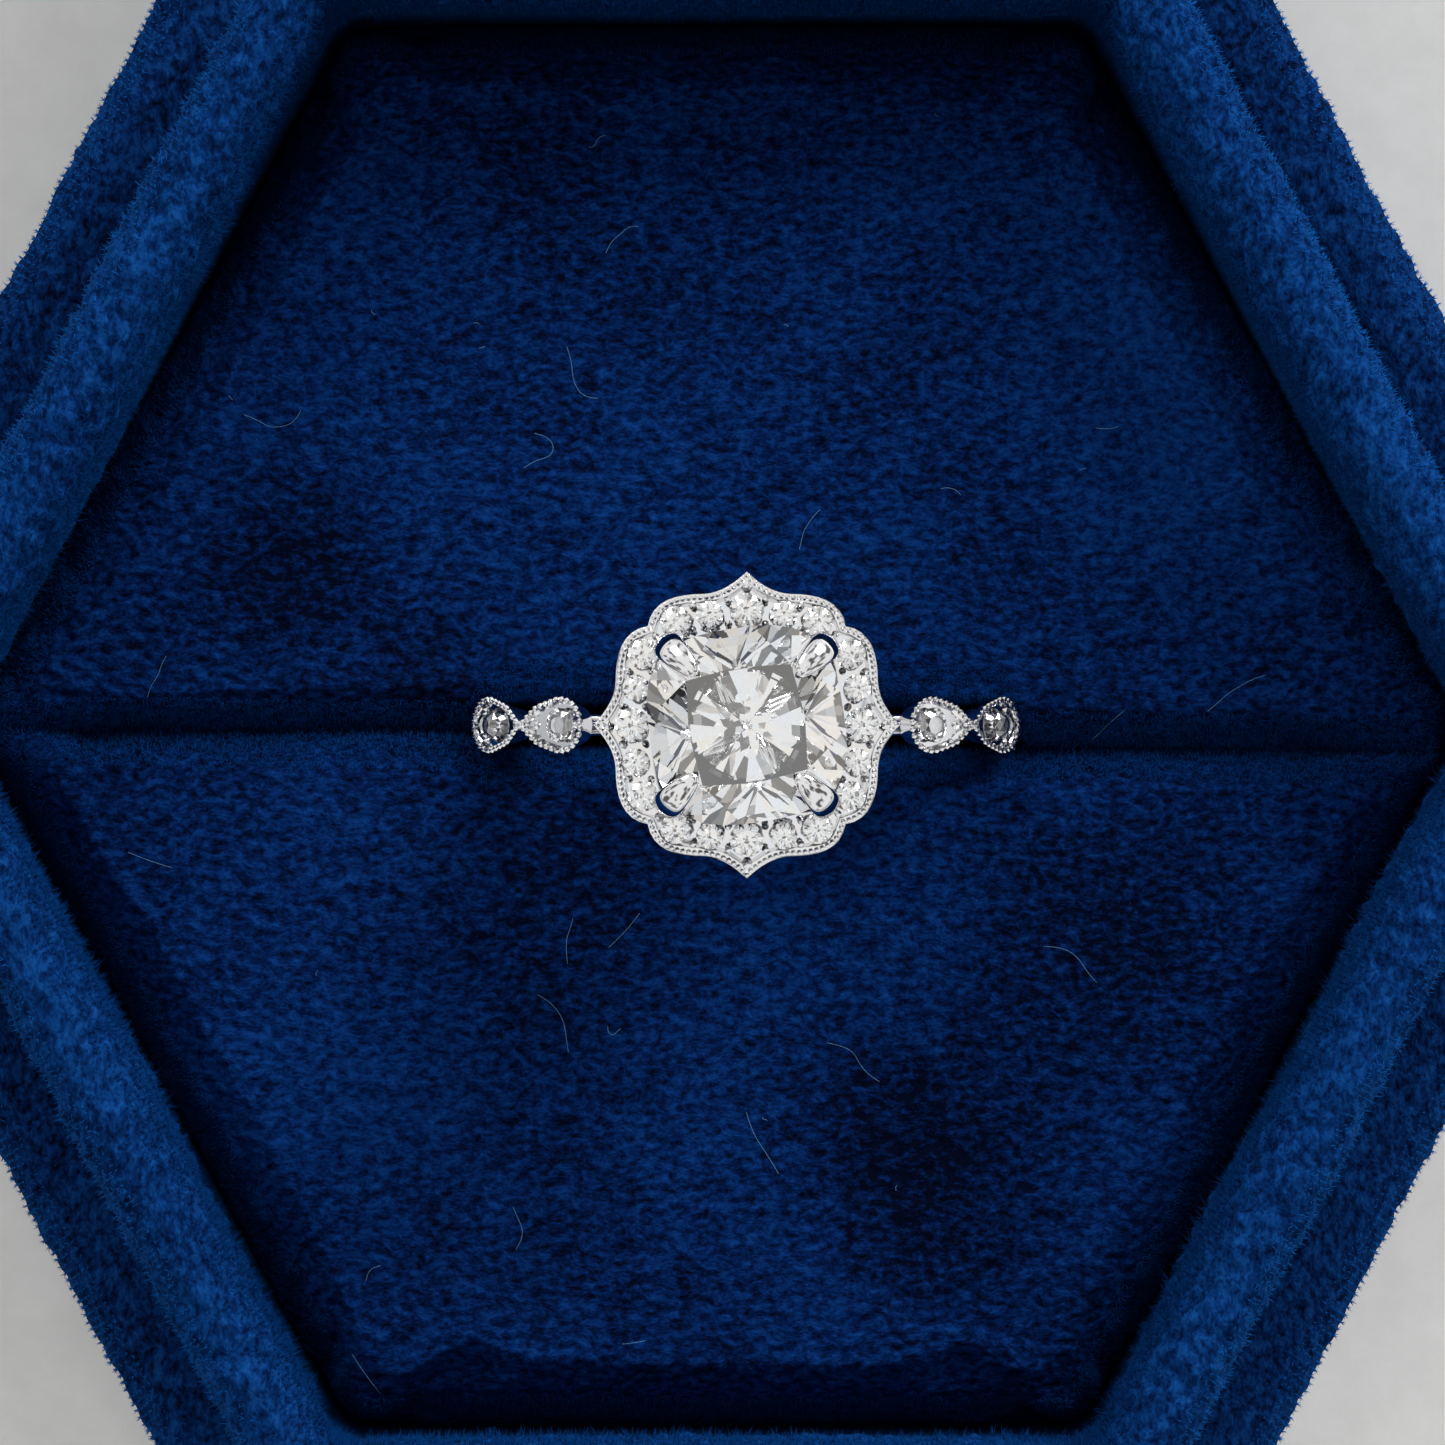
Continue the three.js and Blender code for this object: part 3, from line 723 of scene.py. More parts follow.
@dataclass(frozen=True)
class Tufts:
    """How the pile's tufts stand out of a surface.

    Args:
        comb: Tufts in a millimetre along X, Y and Z.
        height: The tallest tuft.
        wave: Slow unevenness of the wrapped cloth.
    """

    comb: tuple[float, float, float]
    height: float = 0.14 * MM
    wave: float = 0.12 * MM

    def lift(self, place: Vector) -> float:
        """How far the pile stands out at a place."""
        at = place / MM
        tuft = noise.noise(Vector(a * c for a, c in zip(at, self.comb)))
        slow = noise.noise(at * 0.23)
        return self.height * tuft + self.wave * slow

    def raise_on(self, bm: BMesh, shows: Callable[[Vector], bool]) -> None:
        """Moves a mesh's showing points out along their normals.

        Args:
            bm: The mesh.
            shows: Says whether a place is on the visible side.
        """
        bm.normal_update()
        moves = [(v, v.normal * self.lift(v.co)) for v in bm.verts if shows(v.co)]
        for vert, move in moves:
            vert.co += move


# ---------------------------------------------------------------- studio


@dataclass
class Studio:
    """A pale floor, soft light from above and the camera straight over the box."""

    camera_height: float = 286 * MM
    focal_length: float = 204.9
    camera_x: float = 0.24 * MM
    camera_y: float = 0.08 * MM

    def build(self) -> None:
        """Makes the floor, the lamps, the sky and the camera."""
        self.add_camera()
        self.add_floor()
        self.add_sky()
        self.add_softbox("window_softbox", Vector((0.36, 0.46, 0.3)), 0.24, 5.8)
        self.add_softbox("back_softbox", Vector((-0.3, 0.42, 0.34)), 0.22, 2.2)
        bpy.context.scene.view_settings.view_transform = "Standard"

    def add_camera(self) -> None:
        """The camera looks straight down with +Y at the top of the view."""
        data = bpy.data.cameras.new("overhead_camera")
        data.lens = self.focal_length
        data.sensor_width = 36.0
        data.clip_start = 0.01
        camera = bpy.data.objects.new("overhead_camera", data)
        camera.location = (self.camera_x, self.camera_y, self.camera_height)
        bpy.context.scene.collection.objects.link(camera)
        bpy.context.scene.camera = camera

    def add_floor(self) -> None:
        """A wide pale sheet with a faint mottle."""
        bm = bmesh.new()
        bmesh.ops.create_grid(bm, x_segments=4, y_segments=4, size=3.0)
        floor = to_piece(bm, "floor")
        material = BoardFinish("floor_paper", (0.5, 0.5, 0.495), (0.54, 0.54, 0.535), grain=0.4, relief=0.02)
        floor.data.materials.append(material.material())

    def add_sky(self) -> None:
        """A pale surround with broad light and dark bands, for the metal and the stones to reflect."""
        world = bpy.data.worlds.new("studio_surround")
        world.use_nodes = True
        bpy.context.scene.world = world
        hand = Sockets(world.node_tree)
        back = world.node_tree.nodes["Background"]
        place = hand.add("TexCoord").outputs["Generated"]
        bands = hand.add("TexNoise", {"Vector": place, "Scale": 3.4, "Detail": 1.0})
        level = hand.ramp(bands.outputs["Fac"], [(0.4, 0.12), (0.47, 1.0)])
        glow = hand.add("TexNoise", {"Vector": place, "Scale": 9.0, "Detail": 1.0})
        warmth = hand.ramp(glow.outputs["Fac"], [(0.42, 0.0), (0.58, 1.0)])
        tint = hand.mix(warmth, (1.0, 0.95, 0.88, 1), (0.93, 0.97, 1.0, 1))
        hand.feed(back.inputs["Color"], hand.mix(1.0, level, tint, "MULTIPLY"))
        back.inputs["Strength"].default_value = 1.0

    def add_softbox(self, name: str, place: Vector, size: float, watts: float) -> None:
        """One square area lamp that faces the box.

        Args:
            name: The lamp's name.
            place: Where it hangs.
            size: Its side.
            watts: Its power.
        """
        data = bpy.data.lights.new(name, "AREA")
        data.size = size
        data.energy = watts
        lamp = bpy.data.objects.new(name, data)
        lamp.location = place
        lamp.rotation_euler = (Vector((0, 0, 0.02)) - place).to_track_quat("-Z", "Y").to_euler()
        lamp.visible_camera = False
        bpy.context.scene.collection.objects.link(lamp)


# ---------------------------------------------------------------- base


@dataclass
class Shell:
    """The outer shell's velvet: under the foot, up the wall, over the shoulder and down inside."""

    step: float = 0.24 * MM
    coarse: float = 1.4 * MM
    roll: float = 1.4 * MM
    foot: float = 0.9 * MM
    cloth: float = 0.45 * MM
    gap: float = 0.36 * MM
    tufts: Tufts = Tufts((2.4, 1.6, 1.6), height=0.16 * MM)

    def build(self) -> None:
        """Builds the cover and dresses the boards and felt that stay as they are."""
        low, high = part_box("base_velvet_cover")
        apothem, top = high.y - OUTLINE.end_extra, high.z
        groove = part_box("collar_velvet_cover")[1].y - OUTLINE.end_extra + self.gap
        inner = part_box("base_underside_felt")[1].y - OUTLINE.end_extra + 0.3 * MM
        sole, lip, thin = low.z + 0.02 * MM, 0.6 * MM, self.cloth
        path = Path(inner, sole, self.step)
        path.line(apothem - self.foot, sole, self.coarse)
        path.arc(apothem - self.foot, sole + self.foot, self.foot, -90, 0)
        path.line(apothem, top - self.roll)
        path.arc(apothem - self.roll, top - self.roll, self.roll, 0, 90)
        path.line(groove + lip, top)
        path.arc(groove + lip, top - lip, lip, 90, 180)
        path.line(groove, top - 6 * MM, self.coarse)
        path.line(groove + thin, top - 6 * MM)
        path.line(groove + thin, top - lip, self.coarse)
        path.line(groove + lip, top - thin)
        path.line(apothem - self.roll, top - thin, self.coarse)
        path.line(apothem - thin, top - self.roll)
        path.line(apothem - thin, sole + self.foot, self.coarse)
        path.line(apothem - self.foot, sole + thin)
        path.line(inner, sole + thin, self.coarse)
        bm = swept_wall(path, self.step)
        self.tufts.raise_on(bm, lambda p: self.shows(p, apothem, top))
        piece = to_piece(bm, "shell_velvet")
        settle(piece, Body.BASE, WALL_VELVET.material(), "velvet", "base_velvet_cover")
        dress(["base_wall_board", "base_floor_board", "collar_board"], GREYBOARD.material())
        dress(["base_underside_felt"], FELT.material())
        edge = apothem - MM
        rim = Fringe("shell_fringe", Body.BASE, lambda p: p.z > top - 2.4 * MM and OUTLINE.reach(p) > edge)
        # The lighter fibres are painted sheen along the shoulder's outer edge.
        rim.finish, rim.length = PAINTED_SHEEN_FIBRE, 0.22 * MM
        rim.build(piece)

    def shows(self, place: Vector, apothem: float, top: float) -> bool:
        """Whether a point is on the outer wall or the shoulder, clear of the table."""
        corner_x = OUTLINE.reach(place) - (apothem - self.roll)
        corner_z = place.z - (top - self.roll)
        if corner_x > 0 and corner_z > 0:
            return math.hypot(corner_x, corner_z) > self.roll - 0.3 * MM
        return place.z > MM and (corner_x > self.roll - 0.3 * MM or place.z > top - 0.3 * MM)


@dataclass
class Collar:
    """The raised neck: velvet over a thin board, with a full round top edge."""

    step: float = 0.2 * MM
    coarse: float = 1.6 * MM
    cloth: float = 0.5 * MM
    outer_depth: float = 2.4 * MM
    inner_depth: float = 5.5 * MM
    inner_pile: float = 0.5 * MM
    crest_half: float = 0.5 * MM
    tufts: Tufts = Tufts((2.8, 2.0, 1.8), height=0.26 * MM, wave=0.16 * MM)

    def build(self) -> None:
        """Builds the collar's velvet."""
        low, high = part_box("collar_velvet_cover")
        outer, top = high.y - OUTLINE.end_extra, high.z
        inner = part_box("back_pad_velvet")[1].y - OUTLINE.end_extra + 0.3 * MM
        radius = (outer - inner) / 2
        middle = (outer + inner) / 2
        hem = low.z + 2 * MM
        path = Path(outer, hem, self.step)
        path.line(outer, top - 9 * MM, self.coarse)
        path.line(outer, top - radius)
        path.arc(middle, top - radius, radius, 0, 180)
        path.line(inner, top - 6.5 * MM)
        path.line(inner, hem, self.coarse)
        path.line(inner + self.cloth, hem)
        path.line(inner + self.cloth, top - 0.66 * MM, self.coarse)
        path.line(outer - self.cloth, top - 0.66 * MM, self.coarse)
        path.line(outer - self.cloth, hem, self.coarse)
        bm = swept_wall(path, self.step)
        self.tufts.raise_on(bm, lambda p: p.z > top - 8 * MM and self.skin(p, inner, outer, top))
        piece = to_piece(bm, "collar_velvet")
        # The collar's velvet is painted lighter than the walls, for the light that it catches.
        settle(piece, Body.BASE, COLLAR_VELVET_PAINTED_LIGHTER.material(), "velvet", "collar_velvet_cover")
        outside = Fringe("collar_fringe", Body.BASE, lambda p: self.edge(p, 1, middle, top))
        # The lighter fibres are painted sheen along the collar's outer edge.
        outside.finish, outside.doublings = PAINTED_SHEEN_FIBRE, 14
        outside.build(piece)
        inside = Fringe("collar_inner_fringe", Body.BASE, lambda p: self.edge(p, -1, middle, top))
        inside.length = self.inner_pile
        inside.build(piece)

    def edge(self, place: Vector, way: int, middle: float, top: float) -> bool:
        """Whether a point is near the top edge, on the outer side for a way of 1 or the inner for -1."""
        depth = self.outer_depth if way > 0 else self.inner_depth
        return place.z > top - depth and (OUTLINE.reach(place) - middle) * way > self.crest_half

    def skin(self, place: Vector, inner: float, outer: float, top: float) -> bool:
        """Whether a point is on the collar's outside and not on the board side of the cloth."""
        reach = OUTLINE.reach(place)
        return reach < inner + 0.2 * MM or reach > outer - 0.2 * MM or place.z > top - 0.62 * MM


@dataclass
class Fringe:
    """Loose fibres that stand out of a velvet piece, one plain colour."""

    name: str
    body: Body
    shows: Callable[[Vector], bool]
    finish: FibreFinish = LOOSE_FIBRE
    doublings: int = 15
    length: float = 0.3 * MM
    thickness: float = 0.022 * MM
    seed: int = 7

    def build(self, velvet: bpy.types.Object) -> None:
        """Plants the fibres on a velvet piece's showing faces.

        Args:
            velvet: The piece that the fibres grow from.
        """
        dice = random.Random(self.seed)
        faces = [f for f in velvet.data.polygons if self.shows(f.center)]
        bm = bmesh.new()
        wide, deep = self.thickness, self.length
        bmesh.ops.create_cone(bm, cap_ends=True, segments=3, radius1=wide, radius2=0, depth=deep)
        for _ in range(self.doublings - (0)):
            bmesh.ops.duplicate(bm, geom=[*bm.verts, *bm.edges, *bm.faces])
        for tip in [v for v in bm.verts if v.co.z > 0]:
            face = dice.choice(faces)
            lean = Vector((dice.gauss(0, 0.5), dice.gauss(0, 0.5), dice.gauss(0, 0.3)))
            along = (face.normal + lean).normalized()
            tall = dice.uniform(0.5, 1.3)
            turned = along.to_track_quat("Z", "Y").to_matrix().to_4x4()
            root = Matrix.Translation(face.center + along * (self.length * 0.35 * tall))
            place = root @ turned @ Matrix.Diagonal((1, 1, tall, 1))
            for vert in [tip, *(e.other_vert(tip) for e in tip.link_edges)]:
                vert.co = place @ vert.co
        bmesh.ops.recalc_face_normals(bm, faces=bm.faces)
        settle(to_piece(bm, self.name), self.body, self.finish.material(), "velvet")


class Side(Enum):
    """Which half of the bay a pad fills."""

    BACK = 1
    FRONT = -1


@dataclass
class Cushion:
    """What the seat pads and the lid's pad share: a block blown up as cloth, then cut fine and tufted."""

    voxel: float = 0.9 * MM
    model_scale: float = 20.0
    pressure: float = 4.0
    swell: float = 1.1 * MM
    steps: int = 20
    tufts: Tufts = Tufts((2.4, 3.8, 2.6), height=0.11 * MM, wave=0.12 * MM)

    def inflate(self, piece: bpy.types.Object, held_below: float) -> None:
        """Blows a block up as cloth at a large cushion's scale and brings it back to size.

        Args:
            piece: The block.
            held_below: The height up to which the cloth is glued down.
        """
        scene = bpy.context.scene
        piece.data.transform(Matrix.Scale(self.model_scale, 4))
        apply_modifier(piece, "REMESH", mode="VOXEL", voxel_size=self.voxel * self.model_scale)
        start = [v.co.copy() for v in piece.data.vertices]
        glued = piece.vertex_groups.new(name="glued")
        glued.add([i for i, co in enumerate(start) if co.z < held_below * self.model_scale], 1.0, "REPLACE")
        cloth = piece.modifiers.new("swell", "CLOTH")
        cloth.settings.vertex_group_mass = "glued"
        cloth.settings.use_pressure = True
        cloth.settings.uniform_pressure_force = self.pressure
        cloth.settings.effector_weights.gravity = 0.0
        for number in range(1, self.steps + 1):
            scene.frame_set(number)
        swollen = bpy.data.meshes.new_from_object(piece.evaluated_get(bpy.context.evaluated_depsgraph_get()))
        ends = [v.co.copy() for v in swollen.vertices]
        bpy.data.meshes.remove(swollen)
        piece.modifiers.remove(cloth)
        piece.vertex_groups.remove(glued)
        scene.frame_set(1)
        most = self.swell * self.model_scale
        for vert, before, after in zip(piece.data.vertices, start, ends):
            move = after - before
            vert.co = before + move * min(1.0, most / max(move.length, 1e-9))
        piece.data.transform(Matrix.Scale(1 / self.model_scale, 4))

    def refine(self, piece: bpy.types.Object, rounds: int, shows: Callable[[Vector], bool]) -> None:
        """Cuts the showing part fine, holds it in its space and raises the tufts.

        Args:
            piece: The swollen block.
            rounds: How many times the showing faces are cut in four.
            shows: Says whether a place shows.
        """
        bm = bmesh.new()
        bm.from_mesh(piece.data)
        for _ in range(rounds):
            showing = [f for f in bm.faces if shows(f.calc_center_median())]
            edges = {e for f in showing for e in f.edges}
            bmesh.ops.subdivide_edges(bm, edges=list(edges), cuts=1, use_grid_fill=True)
            bmesh.ops.smooth_vert(
                bm, verts=bm.verts, factor=0.5, use_axis_x=True, use_axis_y=True, use_axis_z=True
            )
        for vert in bm.verts:
            self.hold(vert.co)
        self.tufts.raise_on(bm, shows)
        bmesh.ops.recalc_face_normals(bm, faces=bm.faces)
        bm.to_mesh(piece.data)
        bm.free()
        piece.data.shade_smooth()

    def hold(self, place: Vector) -> None:
        """Keeps a place in the space that the cushion may fill."""


@dataclass
class SeatPad(Cushion):
    """One puffy half-hexagon pad that closes round the band at the slit."""

    side: Side = Side.BACK
    node: str = "back_pad"
    rim: float = 0.45 * MM
    proud: float = 0.15 * MM
    pressed: float = 0.5 * MM
    slit_y: float = -0.5 * MM
    slit_slope: float = -0.015
    parting: float = 0.05 * MM
    ring_x: float = 1.0 * MM
    ring_reach: float = 8.3 * MM
    ring_fade: float = 0.8 * MM
    ring_gap: float = 0.9 * MM
    core: float = 1.6 * MM
    foam_cut: float = 2.3 * MM
    foam_drop: float = 2.4 * MM
    foam_rim: float = 0.8 * MM

    def build(self) -> None:
        """Builds, inflates, refines and dresses the pad and its foam."""
        low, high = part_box(self.node + "_velvet")
        self.limit = max(abs(low.y), abs(high.y)) - OUTLINE.end_extra + self.proud
        self.top = high.z
        cut = self.slit_y - self.side.value * self.pressed
        bm = self.half_hexagon(self.limit, low.z + 0.05 * MM, high.z - 0.5 * MM, cut, self.rim)
        piece = to_piece(bm, self.node + "_cushion")
        self.inflate(piece, self.top - 4.2 * MM)
        self.refine(piece, 3, lambda p: p.z > self.top - 3.4 * MM)
        settle(piece, Body.BASE, PAD_VELVET.material(), "velvet", self.node + "_velvet")
        fuzz = Fringe(self.node + "_fringe", Body.BASE, self.borders, doublings=15, length=0.34 * MM)
        fuzz.build(piece)
        foam_slit = self.side.value * self.foam_cut
        foam_top = high.z - self.foam_drop
        bm = self.half_hexagon(self.limit - self.core, low.z + self.core, foam_top, foam_slit, self.foam_rim)
        foam = to_piece(bm, self.node + "_core")
        settle(foam, Body.BASE, FOAM.material(), "foam", self.node + "_foam")

    def half_hexagon(self, apothem: float, low: float, high: float, slit: float, rim: float) -> BMesh:
        """Half of a hexagonal block, cut at the slit, with its upper edges rounded.

        Args:
            apothem: The block's apothem.
            low: Its underside's height.
            high: Its top's height.
            slit: Where the slit crosses the Y axis.
            rim: The radius of the upper edges.

        Returns:
            The closed mesh.
        """
        bm = bmesh.new()
        made = bmesh.ops.extrude_face_region(bm, geom=[OUTLINE.face(bm, apothem, low)])["geom"]
        bmesh.ops.translate(bm, vec=(0, 0, high - low), verts=[g for g in made if isinstance(g, BMVert)])
        bmesh.ops.bisect_plane(
            bm,
            geom=[*bm.verts, *bm.edges, *bm.faces],
            plane_co=(0, slit, 0),
            plane_no=(self.slit_slope * self.side.value, -self.side.value, 0),
            clear_outer=True,
        )
        bmesh.ops.holes_fill(bm, edges=[e for e in bm.edges if e.is_boundary])
        upper = [e for e in bm.edges if all(v.co.z > high - 0.01 * MM for v in e.verts)]
        bmesh.ops.bevel(bm, geom=upper, offset=rim, affect="EDGES", segments=5, profile=0.5, material=-1)
        outward(bm)
        return bm

    def hold(self, place: Vector) -> None:
        """Keeps a place inside the collar, on its side of the slit and off the band."""
        OUTLINE.hold(place, self.limit)
        place.z = min(place.z, self.top + 0.1 * MM)
        lip = self.lip(place.x)
        if self.side is Side.BACK:
            place.y = max(place.y, lip)
        else:
            place.y = min(place.y, lip)

    def borders(self, place: Vector) -> bool:
        """Whether a place is by the pad's crease with the collar or on its lip along the slit."""
        by_slit = abs(place.y - self.lip(place.x)) < 1.1 * MM
        return place.z > self.top - 2.2 * MM and (by_slit or OUTLINE.reach(place) > self.limit - 1.2 * MM)

    def lip(self, x: float) -> float:
        """Where this pad's edge lies along the slit: against the other pad, or against the band."""
        slit = self.slit_y + self.slit_slope * x + self.parting * self.side.value
        past = (abs(x - self.ring_x) - self.ring_reach) / self.ring_fade
        share = 1 - min(max(past, 0.0), 1.0)
        opened = self.ring_gap * self.side.value
        share = share * share * (3 - 2 * share)
        return slit + (opened - slit) * share


@dataclass
class Lint:
    """Pale stray hairs and specks that velvet picks up."""

    count: int = 40
    thickness: float = 0.007 * MM
    seed: int = 23

    def build(self, pads: Sequence[bpy.types.Object]) -> None:
        """Lays the hairs on the pads.

        Args:
            pads: The pads that they lie on.
        """
        dice = random.Random(self.seed)
        data = bpy.data.curves.new("lint_hairs", "CURVE")
        data.dimensions = "3D"
        data.bevel_depth = self.thickness
        data.bevel_resolution = 1
        data.resolution_u = 3
        data.use_fill_caps = True
        bpy.context.view_layer.update()
        for _ in range(self.count):
            self.add_hair(data, dice, pads)
        holder = bpy.data.objects.new("lint_hairs_curve", data)
        bpy.context.scene.collection.objects.link(holder)
        mesh = bpy.data.meshes.new_from_object(holder.evaluated_get(bpy.context.evaluated_depsgraph_get()))
        bpy.data.objects.remove(holder)
        piece = bpy.data.objects.new("lint_hairs", mesh)
        bpy.context.scene.collection.objects.link(piece)
        settle(piece, Body.BASE, PALE_LINT.material(), "velvet")

    def add_hair(self, data: bpy.types.Curve, dice: random.Random, pads: Sequence[bpy.types.Object]) -> None:
        """Adds one curled hair that follows the pad under it."""
        at = Vector((dice.uniform(-19, 19), dice.uniform(-22, 22), 0)) * MM
        heading = dice.uniform(0, math.tau)
        bend = dice.gauss(0, 0.6)
        stride = dice.choice((0.04, 0.15, 0.3, 0.45)) * MM
        points = []
        for _ in range(6):
            z = surface_height(pads, at)
            if z is None:
                return
            points.append(Vector((at.x, at.y, z + dice.uniform(0.03, 0.16) * MM)))
            heading += bend * dice.uniform(-0.6, 1.4)
            at = at + Vector((math.cos(heading), math.sin(heading), 0)) * stride
        spline = data.splines.new("NURBS")
        spline.points.add(len(points) - 1)
        for point, place in zip(spline.points, points):
            point.co = (*place, 1)
        spline.use_endpoint_u = True
        spline.order_u = 4


def surface_height(pieces: Sequence[bpy.types.Object], at: Vector) -> float | None:
    """The height of the first piece met on the way down at a place, or None."""
    for piece in pieces:
        hit, where, _, _ = piece.ray_cast(Vector((at.x, at.y, 0.1)), Vector((0, 0, -1)))
        if hit and where.z > 15 * MM:
            return where.z
    return None


# ---------------------------------------------------------------- lid


SEAM = 0.3 * MM


@dataclass
class Lid:
    """The lift-off lid: outer velvet and lining, made closed and then laid down behind the base."""

    step: float = 0.3 * MM
    coarse: float = 1.4 * MM
    roll: float = 1.4 * MM
    cloth: float = 0.5 * MM
    lining: float = 0.4 * MM
    turned_in: float = 4 * MM
    tufts: Tufts = Tufts((2.4, 1.6, 1.6), height=0.15 * MM)

    def build(self) -> None:
        """Builds the lid's velvet and lining and dresses its boards."""
        self.build_cover()
        self.build_lining()
        dress(["lid_wall_board", "lid_top_board", "lid_pad_card"], GREYBOARD.material())

    def build_cover(self) -> None:
        """The outer velvet: turned up inside the rim, down round it, up the wall and over the top."""
        low, high = closed_box("lid_velvet_cover")
        apothem, top, rim = high.y - OUTLINE.end_extra, high.z, low.z
        inner = closed_box("lid_wall_lining")[1].y - OUTLINE.end_extra - self.lining
        thin, lip = self.cloth, 0.6 * MM
        path = Path(inner, rim + self.turned_in, self.step)
        path.line(inner, rim + lip)
        path.arc(inner + lip, rim + lip, lip, 180, 270)
        path.arc(apothem - lip, rim + lip, lip, -90, 0)
        path.line(apothem, top - self.roll)
        path.arc(apothem - self.roll, top - self.roll, self.roll, 0, 90)
        path.line(apothem - 4 * MM, top)
        under = Path(inner, rim + self.turned_in, self.coarse)
        under.line(inner + self.lining, rim + self.turned_in)
        under.line(inner + self.lining, rim + thin)
        under.line(apothem - thin, rim + thin)
        under.line(apothem - thin, top - self.roll)
        under.line(apothem - self.roll, top - thin)
        under.line(apothem - 4 * MM, top - thin)
        bm = bmesh.new()
        first = OUTLINE.loop(bm, inner, rim + self.turned_in, self.step)
        over = sweep(bm, first, path.points)
        self.cut_grid(bm, bmesh.ops.edgenet_fill(bm, edges=over)["faces"], 1.2 * MM)
        bmesh.ops.edgenet_fill(bm, edges=sweep(bm, first, under.points))
        outward(bm)
        self.tufts.raise_on(bm, lambda p: OUTLINE.reach(p) > apothem - 0.3 * MM and p.z < top - 0.2 * MM)
        bm.transform(laid_down())
        piece = to_piece(bm, "lid_velvet")
        settle(piece, Body.LID, WALL_VELVET.material(), "velvet", "lid_velvet_cover")
        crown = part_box("lid_velvet_cover")[1].z
        lowest, highest = crown - 2.6 * MM, crown - 0.7 * MM
        # The lighter fibres are painted sheen along the lid's rim.
        rim = Fringe("lid_fringe", Body.LID, lambda p: lowest < p.z < highest, PAINTED_SHEEN_FIBRE, 14)
        rim.build(piece)

    def cut_grid(self, bm: BMesh, faces: list[BMFace], pitch: float) -> None:
        """Cuts flat faces into strips so that no face is very large."""
        reach = 30 * MM
        for number in range(math.ceil(2 * reach / pitch)):
            place = -reach + number * pitch
            geometry = {g for f in faces for g in (f, *f.edges, *f.verts)}
            cut = bmesh.ops.bisect_plane(bm, geom=list(geometry), plane_co=(0, place, 0), plane_no=(0, 1, 0))
            faces = [g for g in cut["geom"] if isinstance(g, BMFace)]

    def build_lining(self) -> None:
        """The velvet lining of the lid's wall."""
        low, high = closed_box("lid_wall_lining")
        outer = high.y - OUTLINE.end_extra
        inner = outer - self.lining
        seam = closed_box("lid_velvet_cover")[0].z + self.turned_in + 0.02 * MM
        path = Path(outer, seam, self.step)
        path.line(outer, high.z, self.coarse)
        path.line(inner, high.z)
        path.line(inner, seam + 0.15 * MM)
        path.line(inner + 0.15 * MM, seam)
        bm = swept_wall(path, self.step)
        self.tufts.raise_on(bm, lambda p: OUTLINE.reach(p) < inner + 0.05 * MM)
        bm.transform(laid_down())
        piece = to_piece(bm, "lid_lining_velvet")
        settle(piece, Body.LID, WALL_VELVET.material(), "velvet", "lid_wall_lining")


@dataclass
class LidPad(Cushion):
    """The lid's own pad: a shallow hexagonal cushion on a card."""

    voxel: float = 1.0 * MM
    swell: float = 0.9 * MM
    rim: float = 1.2 * MM
    core: float = 1.0 * MM

    def build(self) -> None:
        """Builds the pad and its foam where the lid lies."""
        low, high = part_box("lid_pad_velvet")
        self.middle = (low.y + high.y) / 2
        self.limit = (high.y - low.y) / 2 - OUTLINE.end_extra
        self.top = high.z
        bm = self.hexagon_block(self.limit, low.z, high.z - 0.5 * MM)
        piece = to_piece(bm, "lid_pad_cushion")
        piece.data.transform(Matrix.Translation((0, -self.middle, 0)))
        self.inflate(piece, low.z + 1.2 * MM)
        self.refine(piece, 2, lambda p: p.z > low.z + 1.2 * MM)
        piece.data.transform(Matrix.Translation((0, self.middle, 0)))
        settle(piece, Body.LID, PAD_VELVET.material(), "velvet", "lid_pad_velvet")
        bm = self.hexagon_block(self.limit - self.core, low.z + 0.3 * MM, high.z - 1.5 * MM)
        foam = to_piece(bm, "lid_pad_core")
        settle(foam, Body.LID, FOAM.material(), "foam", "lid_pad_foam")

    def hexagon_block(self, apothem: float, low: float, high: float) -> BMesh:
        """A hexagonal block over the lid's middle with rounded upper edges."""
        bm = bmesh.new()
        made = bmesh.ops.extrude_face_region(bm, geom=[OUTLINE.face(bm, apothem, low)])["geom"]
        bmesh.ops.translate(bm, vec=(0, 0, high - low), verts=[g for g in made if isinstance(g, BMVert)])
        upper = [e for e in bm.edges if all(v.co.z > high - 0.01 * MM for v in e.verts)]
        bmesh.ops.bevel(bm, geom=upper, offset=self.rim, affect="EDGES", segments=4, profile=0.5, material=-1)
        outward(bm)
        bmesh.ops.translate(bm, vec=(0, self.middle, 0), verts=bm.verts)
        return bm

    def hold(self, place: Vector) -> None:
        """Keeps a place inside the lid's lining and under the pad's crown."""
        OUTLINE.hold(place, self.limit)
        place.z = min(place.z, self.top + 0.2 * MM)


def laid_down() -> Matrix:
    """The half turn about the lid's joint that takes the closed lid to where it lies."""
    low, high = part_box("lid_velvet_cover")
    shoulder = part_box("base_velvet_cover")[1].z
    closed = high.z + shoulder + SEAM
    return Matrix.Translation((0, (low.y + high.y) / 2, closed)) @ Matrix.Rotation(math.pi, 4, "X")


def closed_box(node: str) -> tuple[Vector, Vector]:
    """A lid node's box as it is when the lid is on."""
    low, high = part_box(node)
    back = laid_down().inverted()
    a, b = back @ Vector(low), back @ Vector(high)
    return (Vector(min(p, q) for p, q in zip(a, b)), Vector(max(p, q) for p, q in zip(a, b)))


# ---------------------------------------------------------------- ring


